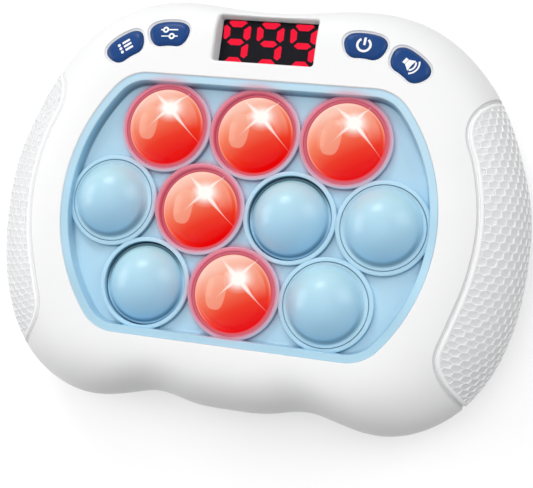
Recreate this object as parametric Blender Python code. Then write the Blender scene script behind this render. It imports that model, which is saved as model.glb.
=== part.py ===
"""Electronic bubble pop game: a handheld white case with grips, a blue tray and ten push bubbles.

The game lies on its back, +Z out of its face and +Y towards the display. The origin is on the
flat back, under the middle of the case's outline. All lengths are in metres.
"""
import bpy
import bmesh
import math
import numpy as np
from mathutils import Matrix, Vector

# Case
BODY_WIDTH = 0.169
BODY_HEIGHT = 0.1292
CREST_Z = 0.0420
PARTING_Z = 0.0185
WALL = 0.0024
FIT_GAP = 0.0003
OVERRUN = 0.0010
CROWN_SIDE_SHARE = 2.1
CROWN_TOP_SHARE = 7.0
CROWN_BOTTOM_SHARE = 2.4
BACK_SHARE = 0.80
# Right half of the outline, bottom middle to top middle, in shares of half the width and height
OUTLINE_SHARES = (
    (0.000, -0.983), (0.150, -0.972), (0.330, -0.946), (0.520, -0.9992), (0.700, -0.947),
    (0.820, -0.832), (0.915, -0.655), (0.972, -0.440), (0.9994, -0.130), (0.986, 0.150),
    (0.944, 0.344), (0.862, 0.594), (0.734, 0.808), (0.600, 0.935), (0.450, 0.994),
    (0.300, 0.9982), (0.150, 0.976), (0.000, 0.964))

# Tray opening and the bubble grid, whose middle lies GRID_DROP below the middle of the case
GRID_DROP = 0.0037
TRAY_HALF_WIDTH = 0.0576
TRAY_HALF_HEIGHT = 0.04015
TRAY_SIDE_RADIUS = 0.0564
TRAY_CORNER_RADIUS = 0.0131
TRAY_BAND_DROP = 0.0006
TRAY_BAND_WIDTH = 0.0020
TRAY_WALL_SLOPE = 0.0013
TRAY_DEPTH = 0.0047
TRAY_FLOOR = 0.0018
TRAY_FLANGE = 0.0016
TRAY_FLANGE_THICKNESS = 0.0016
BUBBLE_PITCH = 0.028
ROW_COUNTS = (("top", 3), ("middle", 4), ("bottom", 3))
COLLAR_RADIUS = 0.0142
COLLAR_HEIGHT = 0.0023
COLLAR_HOLE_RADIUS = 0.0127

# Bubbles, and the four that stand pressed in
DOME_RADIUS = 0.0110
DOME_HEIGHT = 0.0080
DOME_WALL = 0.0012
FLANGE_THICKNESS = 0.0012
SKIRT_WALL = 0.0011
BUBBLE_LIP = 0.0010
BUBBLE_LIP_HEIGHT = 0.0012
BUBBLE_TRAVEL = 0.0034
PRESSED_DEPTH = 0.0016
PRESSED_BUBBLES = ("bubble_top_2", "bubble_middle_2", "bubble_middle_3", "bubble_bottom_1")
LIT_BUBBLES = ("bubble_top_1", "bubble_top_2", "bubble_top_3", "bubble_middle_2", "bubble_bottom_2")
STEM_RADIUS = 0.0019
STEM_ENGAGEMENT = 0.0010

# Main board and what stands on it
BOARD_Z = 0.0220
BOARD_THICKNESS = 0.0016
BOARD_INSET = 0.0020
BOARD_MARGIN = 0.0026
SWITCH_SIZE = 0.0080
SWITCH_HEIGHT = 0.0060
LED_SIZE = 0.0030
LED_HEIGHT = 0.0012
LED_OFFSET = 0.0078
CHIP_SIZE = (0.0120, 0.0080, 0.0016)
CHIP_PLACE = (-0.0440, -0.0120)
POST_RADIUS = 0.0022
REST_RADIUS = 0.0020
# Where the rests stand, in shares of the tray's half width and height
REST_SHARES = ((0.833, 0.5), (-0.833, 0.5), (-0.833, -0.5), (0.833, -0.5))
BOARD_SCREW_RADIUS = 0.0010
BOARD_SCREW_LENGTH = 0.0080
BOARD_SCREW_HEAD_RADIUS = 0.0020
BOARD_SCREW_HEAD_HEIGHT = 0.0013

# Control buttons: name, direction from the grid's middle in degrees, share of the way from the
# tray's edge to the case's edge, and tilt in degrees
BUTTON_SHARES = (
    ("menu", 132.65, 0.3924, 35.0),
    ("settings", 119.95, 0.4690, 3.5),
    ("power", 60.05, 0.4690, -3.5),
    ("sound", 47.35, 0.3924, -35.0))
BUTTON_LENGTH = 0.0128
BUTTON_WIDTH = 0.0078
BUTTON_BEND_RADIUS = 0.0180
BUTTON_GAP = 0.0005
BUTTON_PROUD = 0.0003
BUTTON_LIP = 0.0009
BUTTON_LIP_HEIGHT = 0.0012
BUTTON_TRAVEL = 0.0006
BUTTON_STEM_RADIUS = 0.0018
TACT_SIZE = 0.0060
TACT_HEIGHT = 0.0035
TACT_PLUNGER_RADIUS = 0.0017
TACT_PLUNGER_HEIGHT = 0.0015

# Display window and the module behind it
WINDOW_WIDTH = 0.0312
WINDOW_LOWER_MARGIN = 0.00545
WINDOW_UPPER_MARGIN = 0.00617
WINDOW_DEPTH = 0.0073
WINDOW_WALL = 0.0012
WINDOW_CORNER = 0.0008
DISPLAY_SIDE = 0.0024
DISPLAY_EDGE = 0.0005

# Side grips: their outline in shares of half the width and height, right side, top to bottom
GRIP_THICKNESS = 0.0012
GRIP_GAP = 0.0004
GRIP_BACK_Z = 0.0050
GRIP_EDGE_SHARES = (
    (1.150, 0.660), (0.950, 0.622), (0.845, 0.576), (0.768, 0.500), (0.742, 0.395),
    (0.775, 0.255), (0.806, 0.085), (0.818, -0.085), (0.793, -0.280), (0.747, -0.475),
    (0.726, -0.610), (0.757, -0.710), (0.828, -0.803), (0.920, -0.910), (1.050, -1.070))

# Batteries, their bay and cover
CELL_RADIUS = 0.00725
CELL_LENGTH = 0.0505
CELL_NUB_RADIUS = 0.00275
CELL_NUB_LENGTH = 0.0010
CELL_COUNT = 3
CELL_PITCH = 0.0150
SPRING_LENGTH = 0.0050
SPRING_WIRE_RADIUS = 0.00035
SPRING_RADII = (0.0040, 0.0024)
SPRING_TURNS = 3.5
PLATE_THICKNESS = 0.0004
PLATE_WIDTH = 0.0100
PLATE_HEIGHT = 0.0100
BAY_WALL = 0.0014
BAY_Y = 0.0040
COVER_THICKNESS = 0.0018
COVER_MARGIN = 0.0050
COVER_CORNER = 0.0050
COVER_SEAT = 0.0024
TAB_WIDTH = 0.0030
TAB_RISE = 0.0020

# Screws
SCREW_RADIUS = 0.0013
SCREW_HEAD_RADIUS = 0.0028
SCREW_HEAD_HEIGHT = 0.0015
SCREW_SEAT_Z = 0.0100
SCREW_GRIP = 0.0070
BOSS_RADIUS = 0.0036
POST_WALL = 0.0012
# Each screw's direction in degrees and share of the way from the tray's edge to the case's edge
HOUSING_SCREW_SHARES = (
    (37.7, 0.553), (142.3, 0.553), (-20.0, 0.450), (-160.0, 0.450), (-46.8, 0.474), (-133.2, 0.474))
COVER_SCREW_SEAT = 0.0010
COVER_SCREW_LENGTH = 0.0060
COVER_BOSS_RADIUS = 0.0034

# Speaker, and how far it stands into its spare room between the cover's frame and the case
SPEAKER_ROOM_SHARE = 0.216
SPEAKER_RADIUS = 0.0125
SPEAKER_THICKNESS = 0.0052
SPEAKER_MAGNET_RADIUS = 0.0070
SPEAKER_WALL = 0.0012
GRILLE_HOLE_RADIUS = 0.0009
GRILLE_RINGS = ((0.0, 1), (0.0036, 6), (0.0072, 12))

# Wires: how far out and how far up each point of a wire lies, in shares of its whole run
WIRE_RADIUS = 0.0005
WIRE_SPREAD = 0.0030
BATTERY_LEAD_SHARES = ((0.0, 0.0), (0.5, 0.0), (1.0, 0.3), (1.1, 1.0))
SPEAKER_LEAD_SHARES = ((0.0, 0.4, 0.0), (0.0, 0.4, 0.2), (0.6, 1.0, 0.5), (0.9, 1.4, 0.8), (0.9, 1.4, 1.0))

# Mesh fineness, in counts
BODY_SEGMENTS = 68
FRONT_STEPS = 7
BACK_STEPS = 4
BUBBLE_SEGMENTS = 16
DOME_STEPS = 4
HOLLOW_STEPS = 3
ROUND_SEGMENTS = 12
SMALL_SEGMENTS = 8

# Levels that follow from the sizes above
BAND_Z = CREST_Z - TRAY_BAND_DROP
TRAY_FLOOR_Z = BAND_Z - TRAY_DEPTH
COLLAR_Z = TRAY_FLOOR_Z + COLLAR_HEIGHT
TRAY_UNDER_Z = TRAY_FLOOR_Z - TRAY_FLOOR
BOARD_TOP_Z = BOARD_Z + BOARD_THICKNESS
PARTS_Z = BOARD_TOP_Z + FIT_GAP
SWITCH_TOP_Z = PARTS_Z + SWITCH_HEIGHT
DISPLAY_TOP_Z = CREST_Z - WINDOW_DEPTH
CELL_Z = COVER_THICKNESS + 2 * FIT_GAP + CELL_RADIUS
BAY_CEILING_Z = CELL_Z + CELL_RADIUS + FIT_GAP
BAY_LENGTH = CELL_LENGTH + SPRING_LENGTH + 2 * PLATE_THICKNESS + 4 * FIT_GAP
BAY_HEIGHT = (CELL_COUNT - 1) * CELL_PITCH + 2 * (CELL_RADIUS + FIT_GAP)


def clear_scene():
    for thing in list(bpy.data.objects):
        bpy.data.objects.remove(thing, do_unlink=True)


def material(name, colour, roughness, metallic=0.0):
    made = bpy.data.materials.get(name)
    if made is None:
        made = bpy.data.materials.new(name)
        made.use_nodes = True
        shader = made.node_tree.nodes["Principled BSDF"]
        shader.inputs["Base Color"].default_value = (*colour, 1.0)
        shader.inputs["Roughness"].default_value = roughness
        shader.inputs["Metallic"].default_value = metallic
        made.diffuse_color = (*colour, 1.0)
    return made


def white_plastic():
    return material("white_plastic", (0.90, 0.90, 0.905), 0.30)


def grip_rubber():
    return material("grip_rubber", (0.68, 0.68, 0.70), 0.60)


def blue_plastic():
    return material("blue_plastic", (0.42, 0.65, 0.83), 0.38)


def lit_bubble():
    return material("lit_bubble", (0.92, 0.05, 0.02), 0.20)


def navy_plastic():
    return material("navy_plastic", (0.012, 0.065, 0.26), 0.30)


def board_green():
    return material("board_green", (0.02, 0.16, 0.07), 0.45)


def switch_black():
    return material("switch_black", (0.015, 0.015, 0.017), 0.50)


def display_black():
    return material("display_black", (0.008, 0.008, 0.011), 0.25)


def steel():
    return material("steel", (0.62, 0.62, 0.63), 0.30, 1.0)


def cell_label():
    return material("cell_label", (0.10, 0.24, 0.14), 0.35)


def speaker_grey():
    return material("speaker_grey", (0.11, 0.11, 0.12), 0.55)


def wire_red():
    return material("wire_red", (0.60, 0.02, 0.02), 0.45)


def wire_black():
    return material("wire_black", (0.02, 0.02, 0.02), 0.45)


def finish_mesh(thing, paint, crease=35.0):
    """Shade an object smooth but for its sharp edges, and give it its material."""
    mesh = thing.data
    mesh.materials.clear()
    mesh.materials.append(paint)
    mesh.shade_smooth()
    mesh.set_sharp_from_angle(angle=math.radians(crease))
    return thing


def add_object(name, verts, faces):
    mesh = bpy.data.meshes.new(name)
    mesh.from_pydata([tuple(v) for v in verts], [], faces)
    thing = bpy.data.objects.new(name, mesh)
    bpy.context.scene.collection.objects.link(thing)
    return thing


def face_outwards(thing):
    """Turn all faces of a closed body to point out."""
    shape = bmesh.new()
    shape.from_mesh(thing.data)
    bmesh.ops.recalc_face_normals(shape, faces=shape.faces)
    if shape.calc_volume(signed=True) < 0:
        bmesh.ops.reverse_faces(shape, faces=shape.faces)
    shape.to_mesh(thing.data)
    shape.free()
    return thing


def loft(name, rings, closed=False):
    """A solid through rings of equal count, capped at both ends or closed onto its first ring."""
    count = len(rings[0])
    verts = [point for ring in rings for point in ring]
    faces = []
    pairs = len(rings) if closed else len(rings) - 1
    for level in range(pairs):
        low = level * count
        high = (level + 1) % len(rings) * count
        for i in range(count):
            j = (i + 1) % count
            faces.append((low + i, low + j, high + j))
            faces.append((low + i, high + j, high + i))
    if not closed:
        faces.append(tuple(range(count - 1, -1, -1)))
        faces.append(tuple(range((len(rings) - 1) * count, len(rings) * count)))
    return face_outwards(add_object(name, verts, faces))


def prism(name, outline, low, high):
    return loft(name, [[(x, y, z) for x, y in outline] for z in (low, high)])


def block(name, centre, size, low, high):
    (x, y), (half_x, half_y) = centre, (size[0] / 2, size[1] / 2)
    corners = ((-1, -1), (1, -1), (1, 1), (-1, 1))
    return prism(name, [(x + sx * half_x, y + sy * half_y) for sx, sy in corners], low, high)


def circle(centre, radius, segments):
    steps = [2 * math.pi * i / segments for i in range(segments)]
    return [(centre[0] + radius * math.cos(a), centre[1] + radius * math.sin(a)) for a in steps]


def rod(name, centre, radius, low, high, segments=ROUND_SEGMENTS):
    return prism(name, circle(centre, radius, segments), low, high)


def turned(name, centre, profile, segments):
    """A body turned round Z from (radius, height) points that begin and end on the axis."""
    middle = profile[1:-1]
    verts = [(centre[0], centre[1], profile[0][1])]
    for radius, z in middle:
        verts += [(x, y, z) for x, y in circle(centre, radius, segments)]
    verts.append((centre[0], centre[1], profile[-1][1]))
    last = len(verts) - 1
    faces = []
    for i in range(segments):
        j = (i + 1) % segments
        faces.append((0, 1 + i, 1 + j))
        for level in range(len(middle) - 1):
            low = 1 + level * segments
            high = low + segments
            faces.append((low + i, high + i, high + j, low + j))
        tail = 1 + (len(middle) - 1) * segments
        faces.append((tail + i, last, tail + j))
    return face_outwards(add_object(name, verts, faces))


def set_origin(thing, point):
    """Put a finished object's origin on its joint's axis, without moving its shape."""
    thing.data.transform(Matrix.Translation([-value for value in point]))
    thing.location = point
    return thing


def weld(mesh, distance):
    """Merge the corners of a mesh that lie on one spot."""
    shape = bmesh.new()
    shape.from_mesh(mesh)
    bmesh.ops.remove_doubles(shape, verts=shape.verts, dist=distance)
    bmesh.ops.dissolve_degenerate(shape, edges=shape.edges, dist=distance)
    shape.to_mesh(mesh)
    shape.free()


def combine(target, tool, operation):
    """Run one exact Boolean and keep its result as the target's own mesh."""
    change = target.modifiers.new(operation.lower(), "BOOLEAN")
    change.operation = operation
    change.solver = "EXACT"
    change.object = tool
    graph = bpy.context.evaluated_depsgraph_get()
    made = bpy.data.meshes.new_from_object(target.evaluated_get(graph))
    weld(made, FIT_GAP / 1000)
    target.modifiers.clear()
    target.data = made
    bpy.data.objects.remove(tool, do_unlink=True)
    return target


def cut(target, tool):
    return combine(target, tool, "DIFFERENCE")


def join(target, tool):
    return combine(target, tool, "UNION")


def common(target, tool):
    return combine(target, tool, "INTERSECT")


def gather(name, tools):
    """Put separate tool bodies into one mesh, so that one Boolean does the work of many."""
    shape = bmesh.new()
    for tool in tools:
        shape.from_mesh(tool.data)
        bpy.data.objects.remove(tool, do_unlink=True)
    mesh = bpy.data.meshes.new(name)
    shape.to_mesh(mesh)
    shape.free()
    thing = bpy.data.objects.new(name, mesh)
    bpy.context.scene.collection.objects.link(thing)
    return thing


def grid_place(place):
    """A place given from the middle of the bubble grid, in the part's own frame."""
    return (place[0], place[1] - GRID_DROP)


def periodic_spline(knots, values):
    """A smooth closed curve of value over angle: a cubic spline through the knots."""
    count = len(knots)
    steps = [(knots[(i + 1) % count] - knots[i]) % (2 * math.pi) for i in range(count)]
    rows = np.zeros((count, count))
    right = np.zeros(count)
    for i in range(count):
        before, after = steps[i - 1], steps[i]
        rows[i, i - 1] += before
        rows[i, i] += 2 * (before + after)
        rows[i, (i + 1) % count] += after
        rise = (values[(i + 1) % count] - values[i]) / after
        fall = (values[i] - values[i - 1]) / before
        right[i] = 6 * (rise - fall)
    bends = np.linalg.solve(rows, right)

    def value_at(angle):
        offset = (angle - knots[0]) % (2 * math.pi)
        i = 0
        while i < count - 1 and offset > steps[i]:
            offset -= steps[i]
            i += 1
        j = (i + 1) % count
        step = steps[i]
        left, rest = offset, step - offset
        curve = (bends[i] * rest ** 3 + bends[j] * left ** 3) / (6 * step)
        curve += (values[i] / step - bends[i] * step / 6) * rest
        return curve + (values[j] / step - bends[j] * step / 6) * left
    return value_at


def make_outline():
    """The case's radius over the angle about the bubble grid's middle."""
    half_width, half_height = BODY_WIDTH / 2, BODY_HEIGHT / 2
    right = [(x * half_width, y * half_height + GRID_DROP) for x, y in OUTLINE_SHARES]
    points = right + [(-x, y) for x, y in reversed(right[1:-1])]
    angles = [math.atan2(y, x) % (2 * math.pi) for x, y in points]
    return periodic_spline(angles, [math.hypot(x, y) for x, y in points])


outline_radius = make_outline()


def tray_radius(angle, grow=0.0):
    """The tray opening's radius over the angle: straight top and bottom, bowed sides, round corners."""
    across, up = abs(math.cos(angle)), abs(math.sin(angle))
    height = TRAY_HALF_HEIGHT + grow
    side, corner = TRAY_SIDE_RADIUS + grow, TRAY_CORNER_RADIUS + grow
    side_x = TRAY_HALF_WIDTH - TRAY_SIDE_RADIUS
    corner_y = TRAY_HALF_HEIGHT - TRAY_CORNER_RADIUS
    reach = TRAY_SIDE_RADIUS - TRAY_CORNER_RADIUS
    corner_x = side_x + math.sqrt(reach ** 2 - corner_y ** 2)
    if up > 0 and height * across / up <= corner_x:
        return height / up
    far = side_x * across + math.sqrt(side ** 2 - (side_x * up) ** 2)
    if far * up <= corner_y * side / reach:
        return far
    along = corner_x * across + corner_y * up
    return along + math.sqrt(corner ** 2 - (corner_x * up - corner_y * across) ** 2)


def ring_angles(count=BODY_SEGMENTS):
    return [2 * math.pi * i / count for i in range(count)]


def tray_outline(grow):
    return [grid_place((tray_radius(a, grow) * math.cos(a), tray_radius(a, grow) * math.sin(a)))
            for a in ring_angles()]


def crown_share(angle):
    """How square the crown is: nearly flat up to the top edge, evenly round at the sides."""
    up = math.sin(angle)
    end = CROWN_TOP_SHARE if up > 0 else CROWN_BOTTOM_SHARE
    return CROWN_SIDE_SHARE + (end - CROWN_SIDE_SHARE) * up ** 4


def body_ring(turn, inset=0.0, gap=0.0):
    """One ring of the case: turn 0 at the tray, 90 at the parting line, 180 at the flat back.

    The ring moves in by inset along the surface's normal, and gap holds it off the parting line.
    """
    points, leans = [], []
    swing = math.radians(turn)
    for angle in ring_angles():
        outer = outline_radius(angle)
        if turn <= 90:
            inner = tray_radius(angle, -OVERRUN)
            power = crown_share(angle)
            rise = CREST_Z - PARTING_Z - gap
            out = math.sin(swing) ** (2 / power)
            up = max(math.cos(swing), 0.0)
            radius = inner + (outer - inner) * out
            z = PARTING_Z + gap + rise * up
            lean = (power * out ** (power - 1) / (outer - inner), 2 * up / rise)
        else:
            fall = PARTING_Z - gap
            depth = (1 - BACK_SHARE) * outer
            out, down = math.sin(swing), -math.cos(swing)
            radius = outer - depth * (1 - out)
            z = PARTING_Z - gap - fall * down
            lean = (out / depth, -down / fall)
        size = math.hypot(*lean)
        points.append((radius * math.cos(angle), radius * math.sin(angle), z))
        leans.append((lean[0] / size, lean[1] / size))
    ring = []
    count = len(points)
    for i in range(count):
        before, after = points[i - 1], points[(i + 1) % count]
        along = (after[0] - before[0], after[1] - before[1])
        size = math.hypot(*along)
        normal = (along[1] / size, -along[0] / size)
        x, y = grid_place(points[i][:2])
        out, up = leans[i]
        ring.append((x - inset * out * normal[0], y - inset * out * normal[1],
                     points[i][2] - inset * up))
    return ring


def front_turns():
    return [90 * i / FRONT_STEPS for i in range(FRONT_STEPS + 1)]


def back_turns():
    return [90 + 90 * i / BACK_STEPS for i in range(BACK_STEPS + 1)]


def body_solid(name, inset, drop=0.0):
    """The whole case as one solid, moved in by inset all round and down by drop."""
    rings = [body_ring(turn, inset) for turn in front_turns() + back_turns()[1:]]
    solid = loft(name, rings)
    solid.data.transform(Matrix.Translation((0.0, 0.0, -drop)))
    return solid


def band_place(degrees, share):
    """A place on the face, share of the way from the tray's edge to the case's edge."""
    angle = math.radians(degrees)
    near = tray_radius(angle)
    radius = near + (outline_radius(angle) - near) * share
    return (radius * math.cos(angle), radius * math.sin(angle))


def button_places():
    """Each control button's name, place from the grid's middle and tilt."""
    return [(name, band_place(degrees, share), tilt) for name, degrees, share, tilt in BUTTON_SHARES]


def screw_places():
    return [band_place(degrees, share) for degrees, share in HOUSING_SCREW_SHARES]


def surface_z(place):
    """The height of the case's face over a place given from the grid's middle."""
    angle = math.atan2(place[1], place[0])
    inner = tray_radius(angle, -OVERRUN)
    share = (math.hypot(*place) - inner) / (outline_radius(angle) - inner)
    share = min(max(share, 0.0), 1.0)
    return PARTING_Z + (CREST_Z - PARTING_Z) * math.sqrt(1 - share ** crown_share(angle))


def button_outline(place, tilt, grow):
    """A short bent bar with round ends, hollow on its lower side, grown by a clearance."""
    half_length = BUTTON_LENGTH / 2 + grow
    half_width = BUTTON_WIDTH / 2 + grow
    bend = BUTTON_BEND_RADIUS
    corner = half_width * 0.98
    reach = (half_length - corner) / bend
    steps = 3
    outline = []
    for side, start, end in ((1, -reach, reach), (-1, reach, -reach)):
        for i in range(steps):
            a = start + (end - start) * i / (steps - 1)
            radius = bend + side * half_width
            outline.append((radius * math.sin(a), radius * math.cos(a) - bend))
        for i in range(1, 4):
            b = math.pi * i / 4
            along = side * corner * math.sin(b)
            across = side * half_width * math.cos(b)
            radius = bend + across
            a = end + along / bend
            outline.append((radius * math.sin(a), radius * math.cos(a) - bend))
    lean = math.radians(tilt)
    turned_points = [(x * math.cos(lean) - y * math.sin(lean), x * math.sin(lean) + y * math.cos(lean))
                     for x, y in outline]
    return [grid_place((place[0] + x, place[1] + y)) for x, y in turned_points]


def window_outline(side=0.0, edge=0.0):
    """The display window's rectangle with small cut corners, grown at its sides and edges.

    The window fills the face between the tray and the case's top, less a margin at each.
    """
    corner = WINDOW_CORNER
    x = WINDOW_WIDTH / 2 + side
    low = TRAY_HALF_HEIGHT + WINDOW_LOWER_MARGIN - edge
    high = outline_radius(math.pi / 2) - WINDOW_UPPER_MARGIN + edge
    points = ((x - corner, low), (x, low + corner), (x, high - corner), (x - corner, high),
              (-x + corner, high), (-x, high - corner), (-x, low + corner), (-x + corner, low))
    return [grid_place(point) for point in points]


def smooth_path(points, steps):
    """Points on a Catmull-Rom curve through the given ones, steps for each stretch."""
    ends = [Vector(p) for p in points]
    ends = [2 * ends[0] - ends[1]] + ends + [2 * ends[-1] - ends[-2]]
    path = []
    for i in range(1, len(ends) - 2):
        a, b, c, d = ends[i - 1:i + 3]
        for k in range(steps):
            t = k / steps
            path.append(0.5 * (2 * b + (c - a) * t + (2 * a - 5 * b + 4 * c - d) * t ** 2
                               + (3 * b - a - 3 * c + d) * t ** 3))
    path.append(ends[-2])
    return path


def grip_outline(side, grow):
    """The grip's outline in plan, moved out by grow on its inner side."""
    points = [(x * BODY_WIDTH / 2, y * BODY_HEIGHT / 2, 0.0) for x, y in GRIP_EDGE_SHARES]
    path = smooth_path(points, 2)
    moved = []
    for i, point in enumerate(path):
        along = path[min(i + 1, len(path) - 1)] - path[max(i - 1, 0)]
        along.normalize()
        moved.append((side * (point.x + grow * along.y), point.y - grow * along.x))
    return moved


def bubble_places():
    """Each bubble's name and place from the grid's middle, in three staggered rows."""
    rise = BUBBLE_PITCH * math.sin(math.radians(60))
    places = []
    for row, (row_name, count) in enumerate(ROW_COUNTS):
        for i in range(count):
            x = (i - (count - 1) / 2) * BUBBLE_PITCH
            places.append((f"{row_name}_{i + 1}", (x, (1 - row) * rise)))
    return places


def post_places():
    """The four spots between bubbles where the tray's posts reach the board."""
    rise = BUBBLE_PITCH / (2 * math.sqrt(3))
    top = BUBBLE_PITCH * math.sin(math.radians(60)) - rise
    return [(sx * BUBBLE_PITCH / 2, sy * top) for sx in (-1, 1) for sy in (-1, 1)]


def grip_cutter(side, reach):
    """A block that takes the case's skin away where a grip sits."""
    tool = prism("grip_cutter", grip_outline(side, GRIP_GAP), GRIP_BACK_Z - GRIP_GAP, CREST_Z + OVERRUN)
    return cut(tool, body_solid("grip_core", reach))


def make_front_shell():
    gap = FIT_GAP / 2
    turns = front_turns()
    outer = [body_ring(turn, 0.0, gap) for turn in turns]
    inner = [body_ring(turn, WALL, gap) for turn in reversed(turns)]
    shell = loft("front_shell", outer + inner, closed=True)
    shell = cut(shell, prism("tray_opening", tray_outline(0.0), PARTING_Z, CREST_Z + OVERRUN))

    added = [prism("skirt", window_outline(WINDOW_WALL, WINDOW_WALL), DISPLAY_TOP_Z + FIT_GAP,
                   CREST_Z)]
    for place in screw_places():
        added.append(rod("boss", grid_place(place), BOSS_RADIUS, PARTING_Z + gap, CREST_Z))
    added = common(gather("front_bosses", added), body_solid("skin_middle", WALL / 2))
    shell = join(shell, added)

    holes = [prism("window", window_outline(), PARTING_Z, CREST_Z + OVERRUN)]
    for _, place, tilt in button_places():
        holes.append(prism("well", button_outline(place, tilt, BUTTON_GAP), PARTING_Z,
                           CREST_Z + OVERRUN))
    for place in screw_places():
        holes.append(rod("pilot", grid_place(place), SCREW_RADIUS + FIT_GAP, PARTING_Z - OVERRUN,
                         PARTING_Z + SCREW_GRIP, SMALL_SEGMENTS))
    shell = cut(shell, gather("front_holes", holes))
    for side in (1, -1):
        shell = cut(shell, grip_cutter(side, GRIP_THICKNESS + FIT_GAP))
    return finish_mesh(shell, white_plastic())


def bay_corners():
    """The battery bay's inner box in plan: middle and size."""
    return (0.0, BAY_Y - GRID_DROP), (BAY_LENGTH, BAY_HEIGHT)


def rounded_rectangle(centre, size, corner, steps=3):
    points = []
    for quarter, (sx, sy) in enumerate(((1, 1), (-1, 1), (-1, -1), (1, -1))):
        x = centre[0] + sx * (size[0] / 2 - corner)
        y = centre[1] + sy * (size[1] / 2 - corner)
        for i in range(steps + 1):
            a = math.pi / 2 * (quarter + i / steps)
            points.append((x + corner * math.cos(a), y + corner * math.sin(a)))
    return points


def cover_screw_places():
    centre, size = bay_corners()
    reach = size[0] / 2 + COVER_BOSS_RADIUS
    return [(centre[0] + side * reach, centre[1]) for side in (1, -1)]


def cover_size():
    _, size = bay_corners()
    return (size[0] + 2 * (2 * COVER_BOSS_RADIUS + FIT_GAP), size[1] + 2 * COVER_MARGIN)


def speaker_place():
    """The speaker's middle: in line with the bay, between the cover's frame and the case."""
    centre, _ = bay_corners()
    frame = centre[0] + cover_size()[0] / 2 + FIT_GAP + BAY_WALL
    reach = SPEAKER_RADIUS + FIT_GAP + SPEAKER_WALL
    room = outline_radius(0.0) - WALL - frame - 2 * reach
    return (frame + reach + room * SPEAKER_ROOM_SHARE, centre[1])


def contact_slots():
    """Where the bay's ceiling lets the battery contacts' tabs through: one at each end cell."""
    (x, y), (length, _) = bay_corners()
    end = length / 2 - FIT_GAP - PLATE_THICKNESS / 2
    return [(x - end, y + CELL_PITCH), (x + end, y - CELL_PITCH)]


def make_back_shell():
    gap = FIT_GAP / 2
    turns = back_turns()
    outer = [body_ring(turn, 0.0, gap) for turn in reversed(turns)]
    inner = [body_ring(turn, WALL, gap) for turn in turns]
    shell = loft("back_shell", outer + inner)

    bay_centre, bay_size = bay_corners()
    outer_size = (bay_size[0] + 2 * BAY_WALL, bay_size[1] + 2 * BAY_WALL)
    shell = join(shell, block("bay", bay_centre, outer_size, WALL / 2, BAY_CEILING_Z + BAY_WALL))
    seat = rounded_rectangle(bay_centre, [s + 2 * (FIT_GAP + BAY_WALL) for s in cover_size()],
                             COVER_CORNER)
    shell = join(shell, prism("cover_frame", seat, WALL / 2, COVER_THICKNESS + COVER_SEAT))
    for place in cover_screw_places():
        shell = join(shell, rod("cover_boss", place, COVER_BOSS_RADIUS, WALL / 2,
                                COVER_SCREW_SEAT + COVER_SCREW_LENGTH + BAY_WALL))
    posts = [rod("post", grid_place(place), SCREW_HEAD_RADIUS + FIT_GAP + POST_WALL, 0.0,
                 PARTING_Z - gap) for place in screw_places()]
    shell = join(shell, common(gather("posts", posts), body_solid("skin_middle", WALL / 2)))
    rests = [rod("rest", grid_place((x * TRAY_HALF_WIDTH, y * TRAY_HALF_HEIGHT)), REST_RADIUS,
                 WALL / 2, BOARD_Z - FIT_GAP, SMALL_SEGMENTS) for x, y in REST_SHARES]
    shell = join(shell, gather("rests", rests))
    spot = speaker_place()
    shell = join(shell, rod("speaker_wall", spot, SPEAKER_RADIUS + FIT_GAP + SPEAKER_WALL, WALL / 2,
                            WALL + SPEAKER_THICKNESS, 2 * ROUND_SEGMENTS))

    holes = [block("bay_hollow", bay_centre, bay_size, -OVERRUN, BAY_CEILING_Z)]
    cover_seat = rounded_rectangle(bay_centre, [s + 2 * FIT_GAP for s in cover_size()], COVER_CORNER)
    shell = cut(shell, prism("cover_seat", cover_seat, -OVERRUN, COVER_THICKNESS + FIT_GAP))
    for x, y in contact_slots():
        holes.append(block("slot", (x, y), (PLATE_THICKNESS + 2 * FIT_GAP, TAB_WIDTH + 2 * FIT_GAP),
                           CELL_Z, BAY_CEILING_Z + BAY_WALL + OVERRUN))
    shell = cut(shell, holes.pop(0))
    for place in cover_screw_places():
        holes.append(rod("cover_pilot", place, SCREW_RADIUS + FIT_GAP, -OVERRUN,
                         COVER_SCREW_SEAT + COVER_SCREW_LENGTH + FIT_GAP, SMALL_SEGMENTS))
    for place in screw_places():
        well = rod("well", grid_place(place), SCREW_HEAD_RADIUS + FIT_GAP, -OVERRUN, SCREW_SEAT_Z)
        hole = rod("hole", grid_place(place), SCREW_RADIUS + FIT_GAP, SCREW_SEAT_Z - OVERRUN,
                   PARTING_Z + OVERRUN, SMALL_SEGMENTS)
        holes.append(join(well, hole))
    holes.append(rod("speaker_well", spot, SPEAKER_RADIUS + FIT_GAP, WALL,
                     WALL + SPEAKER_THICKNESS + OVERRUN, 2 * ROUND_SEGMENTS))
    shell = cut(shell, gather("back_holes", holes))
    grille = []
    for radius, count in GRILLE_RINGS:
        for i in range(count):
            a = 2 * math.pi * i / count
            place = (spot[0] + radius * math.cos(a), spot[1] + radius * math.sin(a))
            grille.append(rod("grille_hole", place, GRILLE_HOLE_RADIUS, -OVERRUN, WALL + OVERRUN, 6))
    shell = cut(shell, gather("grille", grille))
    for side in (1, -1):
        shell = cut(shell, grip_cutter(side, GRIP_THICKNESS + FIT_GAP))
    return finish_mesh(shell, white_plastic())


def make_grip(name, side):
    """A skin over the case's side, from its face round to its back."""
    grip = prism(name, grip_outline(side, 0.0), GRIP_BACK_Z, CREST_Z + OVERRUN)
    grip = common(grip, body_solid("grip_skin", 0.0))
    grip = cut(grip, body_solid("grip_core", GRIP_THICKNESS))
    return finish_mesh(grip, grip_rubber())


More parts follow.
